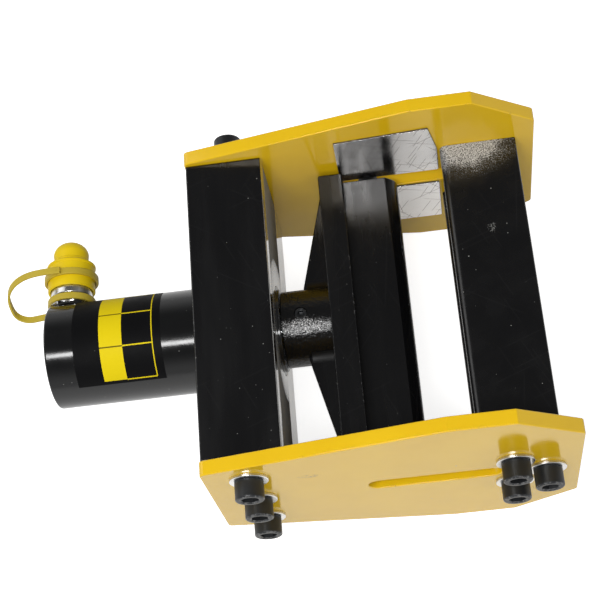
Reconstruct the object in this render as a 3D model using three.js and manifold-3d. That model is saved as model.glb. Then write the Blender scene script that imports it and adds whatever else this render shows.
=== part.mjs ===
import * as THREE from 'three';
import { mergeVertices } from 'three/addons/utils/BufferGeometryUtils.js';
import Module from 'manifold-3d';

// Hydraulic busbar bender, in millimetres.
// X runs along the ram from the cylinder to the die, Y from the near plate to the far plate,
// Z up, with the ram's axis at Y = 0, Z = 0 and the plates' rear ends at X = 0. The whole
// assembly is lowered onto its origin, the middle of its lowest plane, at the end of the file.

const wasm = await Module();
wasm.setup();

// Clearances
const FIT = 0.3;               // radial and end clearance between turned pieces
const OVERRUN = 1;             // how far a cut or a joined shape runs past the face it meets

// Facets of round pieces
const LARGE_FACETS = 40;
const MEDIUM_FACETS = 24;
const SMALL_FACETS = 16;
const CORNER_FACETS = 4;
const HEX_SIDES = 6;
const COIL_STEPS = 8;          // rings of a spring's tube in one turn
const COIL_SIDES = 5;

// Side plates
const PLATE_SPACING = 205;     // between the inner faces, for bar 200 wide
const PLATE_THICKNESS = 9.5;
const PLATE_LENGTH = 230.5;
const PLATE_REAR_HEIGHT = 110.5;
const PLATE_FULL_HEIGHT = 170.5;
const PLATE_FRONT_HEIGHT = 110.5;
const PLATE_TAPER_LENGTH = 150;
const PLATE_CHAMFER_LENGTH = 40;
const PLATE_CORNER_RADIUS = 3.5;

// Guide slots in the side plates
const SLOT_START = 98;
const SLOT_LENGTH = 84;
const SLOT_WIDTH = 15;

// Hardened strips that the punch ends run along, above and below each slot
const WEAR_THICKNESS = 1.2;
const WEAR_START = 99.5;
const WEAR_LENGTH = 67;
const WEAR_SLOT_MARGIN = 1.5;  // from the slot's edge to the strip's edge
const WEAR_REAR_RISE = 58.5;   // height of the strips' outer corners from the axis
const WEAR_FRONT_RISE = 63;
const WEAR_CORNER_LENGTH = 5;
const WEAR_CORNER_DROP = 26;
const WEAR_FALL = 57.5;

// Rear block, which holds the cylinder
const REAR_BLOCK_SETBACK = 0.8;
const REAR_BLOCK_LENGTH = 50;
const REAR_BLOCK_HEIGHT = 106;
const BLOCK_CHAMFER = 1;
const REAR_BOLT_INSET = 27.2;  // from the block's rear face
const REAR_BOLT_PITCH = 40;

// Front block, the die
const FRONT_BLOCK_START = 168.2;
const FRONT_BLOCK_LENGTH = 50;
const FRONT_BLOCK_HEIGHT = 74.5;
const FRONT_BLOCK_RADIUS = 4.5;
const DIE_OPENING = 54;        // width of the vee at its mouth
const DIE_DEPTH = 22;
const DIE_FLAT = 10;           // width of the vee's flat bottom
const FRONT_BOLT_INSET = 21.3; // the rear pair, from the block's rear face
const FRONT_BOLT_STEP = 20;    // from the rear pair to the single bolt in front
const FRONT_BOLT_PITCH = 39;

// Cap screws through the plates, and their washers
const BOLT_DIAMETER = 12;
const BOLT_LENGTH = 30;
const BOLT_HEAD_DIAMETER = 18;
const BOLT_HEAD_HEIGHT = 12;
const BOLT_HEX = 10;
const BOLT_HEX_DEPTH = 6;
const BOLT_CHAMFER = 0.8;
const BOLT_HOLE_DIAMETER = 13.5;
const BOLT_HOLE_SPARE = 2;     // depth of the tapped hole past the screw's tip
const WASHER_DIAMETER = 24;
const WASHER_THICKNESS = 2;

// Cylinder barrel, one piece with its end wall
const BARREL_DIAMETER = 69;
const BARREL_REACH = 101.8;    // from the rear block's rear face to the barrel's end
const BARREL_CHAMFER = 1.2;
const BORE_DIAMETER = 50;
const END_WALL = 17;
const NECK_DIAMETER = 62;
const NECK_LENGTH = 33.7;

// Hydraulic port in the barrel's side, with its drilled passage to the bore
const PORT_INSET = 10.6;       // from the barrel's end to the port's axis
const PORT_DIAMETER = 17.6;
const PORT_DEPTH = 9;
const PORT_FACE_DIAMETER = 29;
const PORT_FACE_CUT = 1;       // depth of the spot face under the seal
const PASSAGE_DIAMETER = 6;

// Gland, which closes the bore around the rod
const GLAND_DIAMETER = 59;
const GLAND_LIP = 2;           // how far it stands out of the rear block
const GLAND_SKIRT_LENGTH = 16.3;
const GLAND_GROOVE_INSET = 4;
const GLAND_GROOVE_WIDTH = 3.4;
const GLAND_RING_DIAMETER = 2.8;
const ROD_SEAL_DIAMETER = 42;
const ROD_SEAL_WIDTH = 6;
const ROD_SEAL_INSET = 4;      // from the skirt's shoulder
const WIPER_DIAMETER = 41;
const WIPER_WIDTH = 4.5;

// Piston and rod
const ROD_DIAMETER = 32;
const ROD_SPIGOT_DIAMETER = 20;
const ROD_CHAMFER = 1;
const PISTON_LENGTH = 23.7;
const PISTON_CHAMFER = 1.5;
const PISTON_SEAL_INSET = 4;
const PISTON_SEAL_WIDTH = 5.5;
const PISTON_SEAL_DEPTH = 3.6;
const PISTON_BAND_INSET = 13.5;
const PISTON_BAND_WIDTH = 6.5;
const PISTON_BAND_DEPTH = 2.4;

// Return spring around the rod
const SPRING_WIRE = 4;
const SPRING_MEAN_DIAMETER = 41;
const SPRING_TURNS = 6;

// Punch holder
const HOLDER_GAP = 0.4;        // between the gland and the retracted holder
const HOLDER_LENGTH = 48.4;
const HOLDER_HEIGHT = 50;
const HOLDER_END_GAP = 3.9;    // from the punch's ends to the plates
const BAR_THICKNESS = 16.2;
const BOSS_DIAMETER = 50.8;
const ROD_SOCKET_DEPTH = 24;
const WING_HEIGHT = 16;        // the wings stiffen the bar at the ram's level
const WING_ROOT = 15;          // from the boss's rear face to where a wing leaves the boss
const WING_END = 4.7;          // from where a wing runs out on the bar to the bar's end
const NOSE_SEAT_DEPTH = 5;

// Screw that locks the holder on the rod
const LOCK_SCREW_DIAMETER = 8;
const LOCK_SCREW_LENGTH = 8.4;
const LOCK_SCREW_INSET = 13.2; // from the boss's rear face
const LOCK_SCREW_HEX = 4;
const LOCK_SCREW_HEX_DEPTH = 3;

// Punch nose
const NOSE_HEIGHT = 24;
const NOSE_REACH = 35.8;       // from the holder's front face to the tip
const NOSE_FLAT = 28.4;        // from the holder's front face to the flanks
const NOSE_TIP_RADIUS = 11.1;
const NOSE_FLANK_DEGREES = 45;
const NOSE_TIP_FACETS = 7;

// Screws that hold the nose in the holder, one in each wing
const NOSE_SCREW_DIAMETER = 6;
const NOSE_SCREW_SHANK = 20;
const NOSE_SCREW_HEAD_DIAMETER = 10;
const NOSE_SCREW_HEAD_HEIGHT = 6;
const NOSE_SCREW_HEX = 5;
const NOSE_SCREW_HEX_DEPTH = 3;
const NOSE_SCREW_SPREAD = 120; // between the two screws
const NOSE_SCREW_WEB = 5.6;    // metal between the screw's head and the nose

// Guide pins in the ends of the nose
const GUIDE_PIN_DIAMETER = 13;
const GUIDE_PIN_LENGTH = 21;
const GUIDE_PIN_ENTRY = 3.3;   // how far a pin reaches into its slot
const GUIDE_PIN_INSET = 16.4;  // from the holder's front face
const GUIDE_PIN_CHAMFER = 0.8;

// Quick coupler
const SEAL_THICKNESS = 1.5;
const SEAL_DIAMETER = 25;
const ADAPTER_HEX = 24;
const ADAPTER_HEX_HEIGHT = 6;
const ADAPTER_THREAD_DIAMETER = 17;
const ADAPTER_THREAD_LENGTH = 8;
const ADAPTER_STUB_DIAMETER = 14;
const ADAPTER_STUB_LENGTH = 6;
const COUPLER_BASE_DIAMETER = 28;
const COUPLER_BASE_HEIGHT = 10;
const COUPLER_THREAD_DIAMETER = 25.5;
const COUPLER_THREAD_HEIGHT = 10;
const COUPLER_TIP_DIAMETER = 18;
const COUPLER_TIP_HEIGHT = 7;
const COUPLER_CHAMFER = 0.8;
const CHAMBER_DIAMETER = 14;
const COUPLER_SEAT_DEPTH = 5;
const POPPET_MOUTH_DIAMETER = 9;
const POPPET_DISC_HEIGHT = 2.5;
const POPPET_STAND = 0.6;      // how far the closed poppet stands out of the mouth
const POPPET_SPRING_WIRE = 1.5;
const POPPET_SPRING_MEAN_DIAMETER = 10.6;
const POPPET_SPRING_TURNS = 4;

// Dust cap and its tether
const CAP_SETBACK = 5;         // from the coupler's base to the cap's rim
const CAP_SKIRT_DIAMETER = 32;
const CAP_SKIRT_LENGTH = 17.8;
const CAP_WALL = 1.6;
const CAP_FLANGE_DIAMETER = 33;
const CAP_FLANGE_HEIGHT = 2.7;
const CAP_CROWN_DIAMETER = 24;
const CAP_CROWN_SIDE = 7.4;    // height of the crown's straight side
const CAP_CROWN_RISE = 9.6;    // height of the dome over it
const CAP_CROWN_WALL = 2.6;
const CAP_CROWN_ARCS = 6;
const CAP_HOLLOW_RISE = 2;     // how far the hollow reaches into the dome
const TETHER_THICKNESS = 1.7;
const TETHER_WIDTH = 4.6;
const TETHER_RING_WALL = 2;
const TETHER_CAP_RISE = 6.7;   // from the cap's rim to the ring around the cap
const TETHER_REACH = 44.2;     // from the port's axis to the far side of the loop
const TETHER_SAG = 17.9;       // from the port's axis down to the lowest part of the loop
const TETHER_LAP = 3;          // the band's end, off the middle of the ring it lies against
const TETHER_STEPS = 30;

const AXIS_X = new THREE.Vector3(1, 0, 0);
const SQUARE_ROOT_3 = Math.sqrt(3);

// Places along the ram that several pieces share
const REAR_BLOCK_FRONT = REAR_BLOCK_SETBACK + REAR_BLOCK_LENGTH;
const BARREL_END = REAR_BLOCK_SETBACK - BARREL_REACH;
const BORE_END = BARREL_END + END_WALL;
const NECK_END = REAR_BLOCK_SETBACK + NECK_LENGTH;
const GLAND_FRONT = REAR_BLOCK_FRONT + GLAND_LIP;
const GLAND_REAR = NECK_END - GLAND_SKIRT_LENGTH;
const PISTON_REAR = BORE_END + FIT;
const PISTON_FRONT = PISTON_REAR + PISTON_LENGTH;
const HOLDER_REAR = GLAND_FRONT + HOLDER_GAP;
const HOLDER_FRONT = HOLDER_REAR + HOLDER_LENGTH;
const NOSE_REAR = HOLDER_FRONT - NOSE_SEAT_DEPTH;
const ROD_FRONT = HOLDER_REAR + ROD_SOCKET_DEPTH - FIT;
const PORT_X = BARREL_END + PORT_INSET;
const PORT_FACE = BARREL_DIAMETER / 2 - PORT_FACE_CUT;
const INNER_FACE = PLATE_SPACING / 2;
const OUTER_FACE = INNER_FACE + PLATE_THICKNESS;
const PUNCH_WIDTH = PLATE_SPACING - 2 * HOLDER_END_GAP;
const PIN_END = INNER_FACE + GUIDE_PIN_ENTRY;

// Finishes
const finishes = {
  yellowPaint: { color: 0xe3ac12, roughness: 0.22, metalness: 0 },
  blackPaint: { color: 0x1d1d1f, roughness: 0.45, metalness: 0 },
  castBlack: { color: 0x222224, roughness: 0.6, metalness: 0 },
  blackOxide: { color: 0x2a2a2c, roughness: 0.4, metalness: 0.6 },
  groundSteel: { color: 0xb9b4ae, roughness: 0.22, metalness: 1 },
  zincSteel: { color: 0xc4c6c8, roughness: 0.3, metalness: 1 },
  chrome: { color: 0xd6d8da, roughness: 0.08, metalness: 1 },
  springSteel: { color: 0x6f7276, roughness: 0.35, metalness: 1 },
  brass: { color: 0xc9a24a, roughness: 0.3, metalness: 1 },
  blackRubber: { color: 0x141414, roughness: 0.7, metalness: 0 },
  sealPolymer: { color: 0x2c5a86, roughness: 0.5, metalness: 0 },
  yellowPlastic: { color: 0xd8bd14, roughness: 0.4, metalness: 0 },
};

// Shape helpers

// A geometry's triangles with shared corners and without slivers, facing outwards.
function closed(geometry) {
  const bare = geometry.index ? geometry.toNonIndexed() : geometry.clone();
  bare.deleteAttribute('normal');
  bare.deleteAttribute('uv');
  const merged = mergeVertices(bare);
  const corners = merged.getIndex().array;
  const kept = [];
  for (let i = 0; i < corners.length; i += 3) {
    const [a, b, c] = [corners[i], corners[i + 1], corners[i + 2]];
    if (a !== b && b !== c && c !== a) kept.push(a, b, c);
  }
  if (signedVolume(merged.getAttribute('position'), kept) < 0) kept.reverse();
  merged.setIndex(kept);
  return merged;
}

function signedVolume(position, corners) {
  const [a, b, c] = [new THREE.Vector3(), new THREE.Vector3(), new THREE.Vector3()];
  let sum = 0;
  for (let i = 0; i < corners.length; i += 3) {
    a.fromBufferAttribute(position, corners[i]);
    b.fromBufferAttribute(position, corners[i + 1]);
    c.fromBufferAttribute(position, corners[i + 2]);
    sum += a.dot(b.cross(c));
  }
  return sum;
}

function toSolid(geometry) {
  const shape = closed(geometry);
  const vertProperties = new Float32Array(shape.getAttribute('position').array);
  const triVerts = new Uint32Array(shape.getIndex().array);
  return new wasm.Manifold(new wasm.Mesh({ numProp: 3, vertProperties, triVerts }));
}

function toGeometry(solid) {
  const mesh = solid.getMesh();
  const geometry = new THREE.BufferGeometry();
  geometry.setAttribute('position', new THREE.BufferAttribute(mesh.vertProperties, mesh.numProp));
  geometry.setIndex(new THREE.BufferAttribute(mesh.triVerts, 1));
  return geometry;
}

// The body with each of the cutting geometries taken away.
function cutBy(body, tools) {
  const solid = tools.reduce((left, tool) => left.subtract(toSolid(tool)), toSolid(body));
  return toGeometry(solid);
}

function joinedTo(body, others) {
  const solid = others.reduce((left, other) => left.add(toSolid(other)), toSolid(body));
  return toGeometry(solid);
}

// A profile of [radius, place] pairs turned about the Y axis. Closed on the axis or on itself.
function turnedY(profile, facets) {
  const points = profile.map(([radius, along]) => new THREE.Vector2(radius, along));
  return closed(new THREE.LatheGeometry(points, facets));
}

// The same, turned about the X axis.
function turnedX(profile, facets) {
  return turnedY(profile, facets).rotateZ(-Math.PI / 2);
}

// The same, turned about the Z axis.
function turnedZ(profile, facets) {
  return turnedY(profile, facets).rotateX(Math.PI / 2);
}

const rodProfile = (radius, low, high) => [[0, low], [radius, low], [radius, high], [0, high]];

const ringProfile = (inner, outer, low, high) => [
  [inner, low], [outer, low], [outer, high], [inner, high], [inner, low],
];

const rodX = (diameter, low, high, facets) => turnedX(rodProfile(diameter / 2, low, high), facets);
const rodY = (diameter, low, high, facets) => turnedY(rodProfile(diameter / 2, low, high), facets);
const rodZ = (diameter, low, high, facets) => turnedZ(rodProfile(diameter / 2, low, high), facets);

// A shape drawn in X and Z, made solid from one Y to another.
function slab(shape, lowY, highY) {
  const options = { depth: highY - lowY, bevelEnabled: false, curveSegments: CORNER_FACETS };
  return new THREE.ExtrudeGeometry(shape, options).rotateX(Math.PI / 2).translate(0, highY, 0);
}

// A hexagonal bar along Y, its width across the flats.
function hexBar(acrossFlats, low, high) {
  const bar = new THREE.CylinderGeometry(
    acrossFlats / SQUARE_ROOT_3, acrossFlats / SQUARE_ROOT_3, high - low, HEX_SIDES,
  );
  return bar.translate(0, (low + high) / 2, 0);
}

// A round wire wound about the Y axis, its coils between two places.
function coil(meanDiameter, wire, turns, low, high) {
  const steps = turns * COIL_STEPS;
  const positions = [];
  const corners = [];
  const centre = new THREE.Vector3();
  const outward = new THREE.Vector3();
  const across = new THREE.Vector3();
  const along = new THREE.Vector3();
  const climb = (high - low - wire) / steps;
  const stepAngle = 2 * Math.PI / COIL_STEPS;
  for (let i = 0; i <= steps; i += 1) {
    const angle = i * stepAngle;
    outward.set(Math.cos(angle), 0, Math.sin(angle));
    centre.copy(outward).multiplyScalar(meanDiameter / 2).setY(low + wire / 2 + i * climb);
    along.set(-Math.sin(angle), climb / (stepAngle * meanDiameter / 2), Math.cos(angle)).normalize();
    across.crossVectors(along, outward);
    for (let k = 0; k < COIL_SIDES; k += 1) {
      const turn = 2 * Math.PI * k / COIL_SIDES;
      const corner = centre.clone()
        .addScaledVector(outward, Math.cos(turn) * wire / 2)
        .addScaledVector(across, Math.sin(turn) * wire / 2);
      positions.push(corner.x, corner.y, corner.z);
    }
  }
  for (let i = 0; i < steps; i += 1) {
    for (let k = 0; k < COIL_SIDES; k += 1) {
      const next = (k + 1) % COIL_SIDES;
      const [a, b] = [i * COIL_SIDES + k, i * COIL_SIDES + next];
      const [c, d] = [a + COIL_SIDES, b + COIL_SIDES];
      corners.push(a, b, d, a, d, c);
    }
  }
  const last = steps * COIL_SIDES;
  for (let k = 1; k < COIL_SIDES - 1; k += 1) {
    corners.push(0, k + 1, k, last, last + k, last + k + 1);
  }
  const geometry = new THREE.BufferGeometry();
  geometry.setAttribute('position', new THREE.Float32BufferAttribute(positions, 3));
  geometry.setIndex(corners);
  return closed(geometry);
}

const materials = {};
for (const [name, finish] of Object.entries(finishes)) {
  materials[name] = new THREE.MeshStandardMaterial({ name, ...finish });
}

function piece(name, geometry, finish) {
  const shaped = closed(geometry);
  shaped.computeVertexNormals();
  const mesh = new THREE.Mesh(shaped, materials[finish]);
  mesh.name = name;
  return mesh;
}

// Side plates

// The places of the bolts on a plate, as [x, z], in the order that their names count.
const rearBoltX = REAR_BLOCK_SETBACK + REAR_BOLT_INSET;
const rearBolts = [REAR_BOLT_PITCH, 0, -REAR_BOLT_PITCH].map((z) => [rearBoltX, z]);
const frontBoltX = FRONT_BLOCK_START + FRONT_BOLT_INSET;
const frontBolts = [
  [frontBoltX, FRONT_BOLT_PITCH / 2],
  [frontBoltX + FRONT_BOLT_STEP, 0],
  [frontBoltX, -FRONT_BOLT_PITCH / 2],
];

function slotHole() {
  const radius = SLOT_WIDTH / 2;
  const hole = new THREE.Path();
  hole.absarc(SLOT_START + radius, 0, radius, Math.PI / 2, 3 * Math.PI / 2, false);
  hole.absarc(SLOT_START + SLOT_LENGTH - radius, 0, radius, -Math.PI / 2, Math.PI / 2, false);
  hole.closePath();
  return hole;
}

function boltHole([x, z]) {
  const hole = new THREE.Path();
  hole.absarc(x, z, BOLT_HOLE_DIAMETER / 2, 0, 2 * Math.PI, false);
  return hole;
}

function plateShape() {
  const [rear, full, front] = [PLATE_REAR_HEIGHT, PLATE_FULL_HEIGHT, PLATE_FRONT_HEIGHT].map((h) => h / 2);
  const chamferStart = PLATE_LENGTH - PLATE_CHAMFER_LENGTH;
  const radius = PLATE_CORNER_RADIUS;
  const taper = Math.atan2(full - rear, PLATE_TAPER_LENGTH);
  const chamfer = Math.atan2(full - front, PLATE_CHAMFER_LENGTH);
  const rearReach = radius * Math.tan((Math.PI / 2 + taper) / 2);
  const frontReach = radius * Math.tan((Math.PI / 2 - chamfer) / 2);
  const shape = new THREE.Shape();
  const low = -1;
  const high = 1;
  for (const side of [low, high]) {
    // Each half is drawn so that the outline runs once round: bottom forwards, top backwards.
    const bottom = side === low;
    const rearArc = [radius, side * (rear - rearReach), radius];
    const frontArc = [PLATE_LENGTH - radius, side * (front - frontReach), radius];
    if (bottom) {
      shape.absarc(...rearArc, Math.PI, 3 * Math.PI / 2 - taper, false);
      shape.lineTo(PLATE_TAPER_LENGTH, side * full);
      shape.lineTo(chamferStart, side * full);
      shape.absarc(...frontArc, -Math.PI / 2 + chamfer, 0, false);
    } else {
      shape.absarc(...frontArc, 0, Math.PI / 2 - chamfer, false);
      shape.lineTo(chamferStart, side * full);
      shape.lineTo(PLATE_TAPER_LENGTH, side * full);
      shape.absarc(...rearArc, Math.PI / 2 + taper, Math.PI, false);
    }
  }
  shape.closePath();
  shape.holes.push(slotHole(), ...rearBolts.map(boltHole), ...frontBolts.map(boltHole));
  return shape;
}

function sidePlate(side) {
  const [low, high] = side > 0 ? [INNER_FACE, OUTER_FACE] : [-OUTER_FACE, -INNER_FACE];
  return slab(plateShape(), low, high);
}

// The upper strip follows the plate's rising edge and is cut back at its front corner.
function upperWearShape() {
  const low = SLOT_WIDTH / 2 + WEAR_SLOT_MARGIN;
  const front = WEAR_START + WEAR_LENGTH;
  const shape = new THREE.Shape();
  shape.moveTo(WEAR_START, low);
  shape.lineTo(front, low);
  shape.lineTo(front, WEAR_FRONT_RISE - WEAR_CORNER_DROP);
  shape.lineTo(front - WEAR_CORNER_LENGTH, WEAR_FRONT_RISE);
  shape.lineTo(WEAR_START, WEAR_REAR_RISE);
  shape.closePath();
  return shape;
}

function lowerWearShape() {
  const high = -SLOT_WIDTH / 2 - WEAR_SLOT_MARGIN;
  const front = WEAR_START + WEAR_LENGTH;
  const shape = new THREE.Shape();
  shape.moveTo(WEAR_START, -WEAR_FALL);
  shape.lineTo(front, -WEAR_FALL);
  shape.lineTo(front, high);
  shape.lineTo(WEAR_START, high);
  shape.closePath();
  return shape;
}

function wearStrip(shape, side) {
  const inner = INNER_FACE - WEAR_THICKNESS;
  const [low, high] = side > 0 ? [inner, INNER_FACE] : [-INNER_FACE, -inner];
  return slab(shape, low, high);
}

// Fasteners of the frame

// A cap screw along Y, its head up and the face under the head at Y = 0.
function capScrew() {
  const radius = BOLT_DIAMETER / 2;
  const headRadius = BOLT_HEAD_DIAMETER / 2;
  const profile = [
    [0, -BOLT_LENGTH],
    [radius - BOLT_CHAMFER, -BOLT_LENGTH],
    [radius, BOLT_CHAMFER - BOLT_LENGTH],
    [radius, 0],
    [headRadius, 0],
    [headRadius, BOLT_HEAD_HEIGHT - BOLT_CHAMFER],
    [headRadius - BOLT_CHAMFER, BOLT_HEAD_HEIGHT],
    [0, BOLT_HEAD_HEIGHT],
  ];
  const socket = hexBar(BOLT_HEX, BOLT_HEAD_HEIGHT - BOLT_HEX_DEPTH, BOLT_HEAD_HEIGHT + OVERRUN);
  return cutBy(turnedY(profile, SMALL_FACETS), [socket]);
}

function washer() {
  const profile = ringProfile(BOLT_DIAMETER / 2 + FIT, WASHER_DIAMETER / 2, -WASHER_THICKNESS, 0);
  return turnedY(profile, SMALL_FACETS);
}

// Tapped holes in the ends of a block, one for each bolt, on both sides.
function tappedHoles(places) {
  const tip = OUTER_FACE + WASHER_THICKNESS - BOLT_LENGTH;
  const depth = tip - BOLT_HOLE_SPARE;
  const spans = [[depth, INNER_FACE + OVERRUN], [-INNER_FACE - OVERRUN, -depth]];
  return spans.flatMap(([low, high]) => places.map(([x, z]) => (
    rodY(BOLT_DIAMETER + 2 * FIT, low, high, SMALL_FACETS).translate(x, 0, z)
  )));
}

function fastenersOf(sideName, side, group, places) {
  const seat = side * (OUTER_FACE + WASHER_THICKNESS);
  return places.flatMap(([x, z], index) => {
    const parts = [
      piece(`${sideName}_${group}_bolt_${index + 1}`, capScrew(), 'blackOxide'),
      piece(`${sideName}_${group}_washer_${index + 1}`, washer(), 'zincSteel'),
    ];
    for (const part of parts) {
      part.position.set(x, seat, z);
      if (side < 0) part.rotateOnAxis(AXIS_X, Math.PI);
    }
    return parts;
  });
}

// Blocks

function rearBlock() {
  const [low, high] = [REAR_BLOCK_SETBACK, REAR_BLOCK_FRONT];
  const half = REAR_BLOCK_HEIGHT / 2;
  const cut = BLOCK_CHAMFER;
  const shape = new THREE.Shape();
  shape.moveTo(low + cut, -half);
  shape.lineTo(high - cut, -half);
  shape.lineTo(high, cut - half);
  shape.lineTo(high, half - cut);
  shape.lineTo(high - cut, half);
  shape.lineTo(low + cut, half);
  shape.lineTo(low, half - cut);
  shape.lineTo(low, cut - half);
  shape.closePath();
  const neckBore = rodX(NECK_DIAMETER + 2 * FIT, low - OVERRUN, NECK_END, LARGE_FACETS);
  const glandBore = rodX(GLAND_DIAMETER + 2 * FIT, NECK_END - OVERRUN, high + OVERRUN, LARGE_FACETS);
  return cutBy(slab(shape, -INNER_FACE, INNER_FACE), [neckBore, glandBore, ...tappedHoles(rearBolts)]);
}

function frontBlock() {
  const [low, high] = [FRONT_BLOCK_START, FRONT_BLOCK_START + FRONT_BLOCK_LENGTH];
  const half = FRONT_BLOCK_HEIGHT / 2;
  const radius = FRONT_BLOCK_RADIUS;
  const cut = BLOCK_CHAMFER;
  const shape = new THREE.Shape();
  shape.moveTo(high - cut, -half);
  shape.lineTo(high, cut - half);
  shape.lineTo(high, half - cut);
  shape.lineTo(high - cut, half);
  shape.absarc(low + radius, half - radius, radius, Math.PI / 2, Math.PI, false);
  shape.lineTo(low, DIE_OPENING / 2);
  shape.lineTo(low + DIE_DEPTH, DIE_FLAT / 2);
  shape.lineTo(low + DIE_DEPTH, -DIE_FLAT / 2);
  shape.lineTo(low, -DIE_OPENING / 2);
  shape.absarc(low + radius, radius - half, radius, Math.PI, 3 * Math.PI / 2, false);
  shape.closePath();
  return cutBy(slab(shape, -INNER_FACE, INNER_FACE), tappedHoles(frontBolts));
}

// Cylinder

function barrel() {
  const radius = BARREL_DIAMETER / 2;
  const bore = BORE_DIAMETER / 2;
  const profile = [
    [0, BARREL_END],
    [radius - BARREL_CHAMFER, BARREL_END],
    [radius, BARREL_END + BARREL_CHAMFER],
    [radius, REAR_BLOCK_SETBACK],
    [NECK_DIAMETER / 2, REAR_BLOCK_SETBACK],
    [NECK_DIAMETER / 2, NECK_END],
    [bore, NECK_END],
    [bore, BORE_END],
    [0, BORE_END],
  ];
  const spotFace = rodY(PORT_FACE_DIAMETER, PORT_FACE, radius + OVERRUN, MEDIUM_FACETS);
  const port = rodY(PORT_DIAMETER, PORT_FACE - PORT_DEPTH, radius + OVERRUN, MEDIUM_FACETS);
  const crossDrilling = rodY(PASSAGE_DIAMETER, -PASSAGE_DIAMETER / 2, radius, SMALL_FACETS);
  const tools = [spotFace, port, crossDrilling].map((tool) => tool.translate(PORT_X, 0, 0));
  const drilling = rodX(PASSAGE_DIAMETER, PORT_X, BORE_END + OVERRUN, SMALL_FACETS);
  return cutBy(turnedX(profile, LARGE_FACETS), [...tools, drilling]);
}

function gland() {
  const skirt = BORE_DIAMETER / 2 - FIT;
  const inner = ROD_DIAMETER / 2 + FIT;
  const grooveRear = GLAND_REAR + GLAND_GROOVE_INSET;
  const grooveFloor = skirt - GLAND_RING_DIAMETER;
  const sealRear = NECK_END + ROD_SEAL_INSET;
  const profile = [
    [inner, GLAND_REAR],
    [skirt, GLAND_REAR],
    [skirt, grooveRear],
    [grooveFloor, grooveRear],
    [grooveFloor, grooveRear + GLAND_GROOVE_WIDTH],
    [skirt, grooveRear + GLAND_GROOVE_WIDTH],
    [skirt, NECK_END],
    [GLAND_DIAMETER / 2, NECK_END],
    [GLAND_DIAMETER / 2, GLAND_FRONT - BLOCK_CHAMFER],
    [GLAND_DIAMETER / 2 - BLOCK_CHAMFER, GLAND_FRONT],
    [WIPER_DIAMETER / 2, GLAND_FRONT],
    [WIPER_DIAMETER / 2, GLAND_FRONT - WIPER_WIDTH],
    [inner, GLAND_FRONT - WIPER_WIDTH],
    [inner, sealRear + ROD_SEAL_WIDTH],
    [ROD_SEAL_DIAMETER / 2, sealRear + ROD_SEAL_WIDTH],
    [ROD_SEAL_DIAMETER / 2, sealRear],
    [inner, sealRear],
    [inner, GLAND_REAR],
  ];
  return turnedX(profile, LARGE_FACETS);
}

function glandRing() {
  const radius = GLAND_RING_DIAMETER / 2;
  const centre = BORE_DIAMETER / 2 - FIT / 2 - radius;
  const place = GLAND_REAR + GLAND_GROOVE_INSET + GLAND_GROOVE_WIDTH / 2;
  const ring = new THREE.TorusGeometry(centre, radius - FIT / 2, HEX_SIDES, LARGE_FACETS);
  return ring.rotateY(Math.PI / 2).translate(place, 0, 0);
}

function rodSeal() {
  const rear = NECK_END + ROD_SEAL_INSET + FIT;
  const front = rear + ROD_SEAL_WIDTH - 2 * FIT;
  const inner = ROD_DIAMETER / 2 + FIT;
  return turnedX(ringProfile(inner, ROD_SEAL_DIAMETER / 2 - FIT, rear, front), MEDIUM_FACETS + SMALL_FACETS);
}

function rodWiper() {
  const rear = GLAND_FRONT - WIPER_WIDTH + FIT;
  const inner = ROD_DIAMETER / 2 + FIT;
  return turnedX(ringProfile(inner, WIPER_DIAMETER / 2 - FIT, rear, GLAND_FRONT), LARGE_FACETS);
}

// Piston and rod

function pistonRod() {
  const radius = ROD_DIAMETER / 2;
  const spigot = ROD_SPIGOT_DIAMETER / 2;
  const profile = [
    [0, PISTON_REAR],
    [spigot - ROD_CHAMFER, PISTON_REAR],
    [spigot, PISTON_REAR + ROD_CHAMFER],
    [spigot, PISTON_FRONT],
    [radius, PISTON_FRONT],
    [radius, ROD_FRONT - ROD_CHAMFER],
    [radius - ROD_CHAMFER, ROD_FRONT],
    [0, ROD_FRONT],
  ];
  return turnedX(profile, LARGE_FACETS);
}

function piston() {
  const radius = BORE_DIAMETER / 2 - FIT;
  const inner = ROD_SPIGOT_DIAMETER / 2 + FIT;
  const seal = PISTON_REAR + PISTON_SEAL_INSET;
  const band = PISTON_REAR + PISTON_BAND_INSET;
  const profile = [
    [inner, PISTON_REAR],
    [radius - PISTON_CHAMFER, PISTON_REAR],
    [radius, PISTON_REAR + PISTON_CHAMFER],
    [radius, seal],
    [radius - PISTON_SEAL_DEPTH, seal],
    [radius - PISTON_SEAL_DEPTH, seal + PISTON_SEAL_WIDTH],
    [radius, seal + PISTON_SEAL_WIDTH],
    [radius, band],
    [radius - PISTON_BAND_DEPTH, band],
    [radius - PISTON_BAND_DEPTH, band + PISTON_BAND_WIDTH],
    [radius, band + PISTON_BAND_WIDTH],
    [radius, PISTON_FRONT],
    [inner, PISTON_FRONT],
    [inner, PISTON_REAR],
  ];
  return turnedX(profile, LARGE_FACETS);
}

// A ring that fills a groove of the piston, with the running clearance on every side.
function pistonRing(inset, width, depth) {
  const outer = BORE_DIAMETER / 2 - FIT;
  const rear = PISTON_REAR + inset;
  return turnedX(ringProfile(outer - depth + FIT, outer, rear + FIT, rear + width - FIT), LARGE_FACETS);
}

function returnSpring() {
  const wound = coil(
    SPRING_MEAN_DIAMETER, SPRING_WIRE, SPRING_TURNS, PISTON_FRONT + FIT, GLAND_REAR - FIT,
  );
  return wound.rotateZ(-Math.PI / 2);
}

// Punch

const barRear = HOLDER_FRONT - BAR_THICKNESS;

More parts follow.
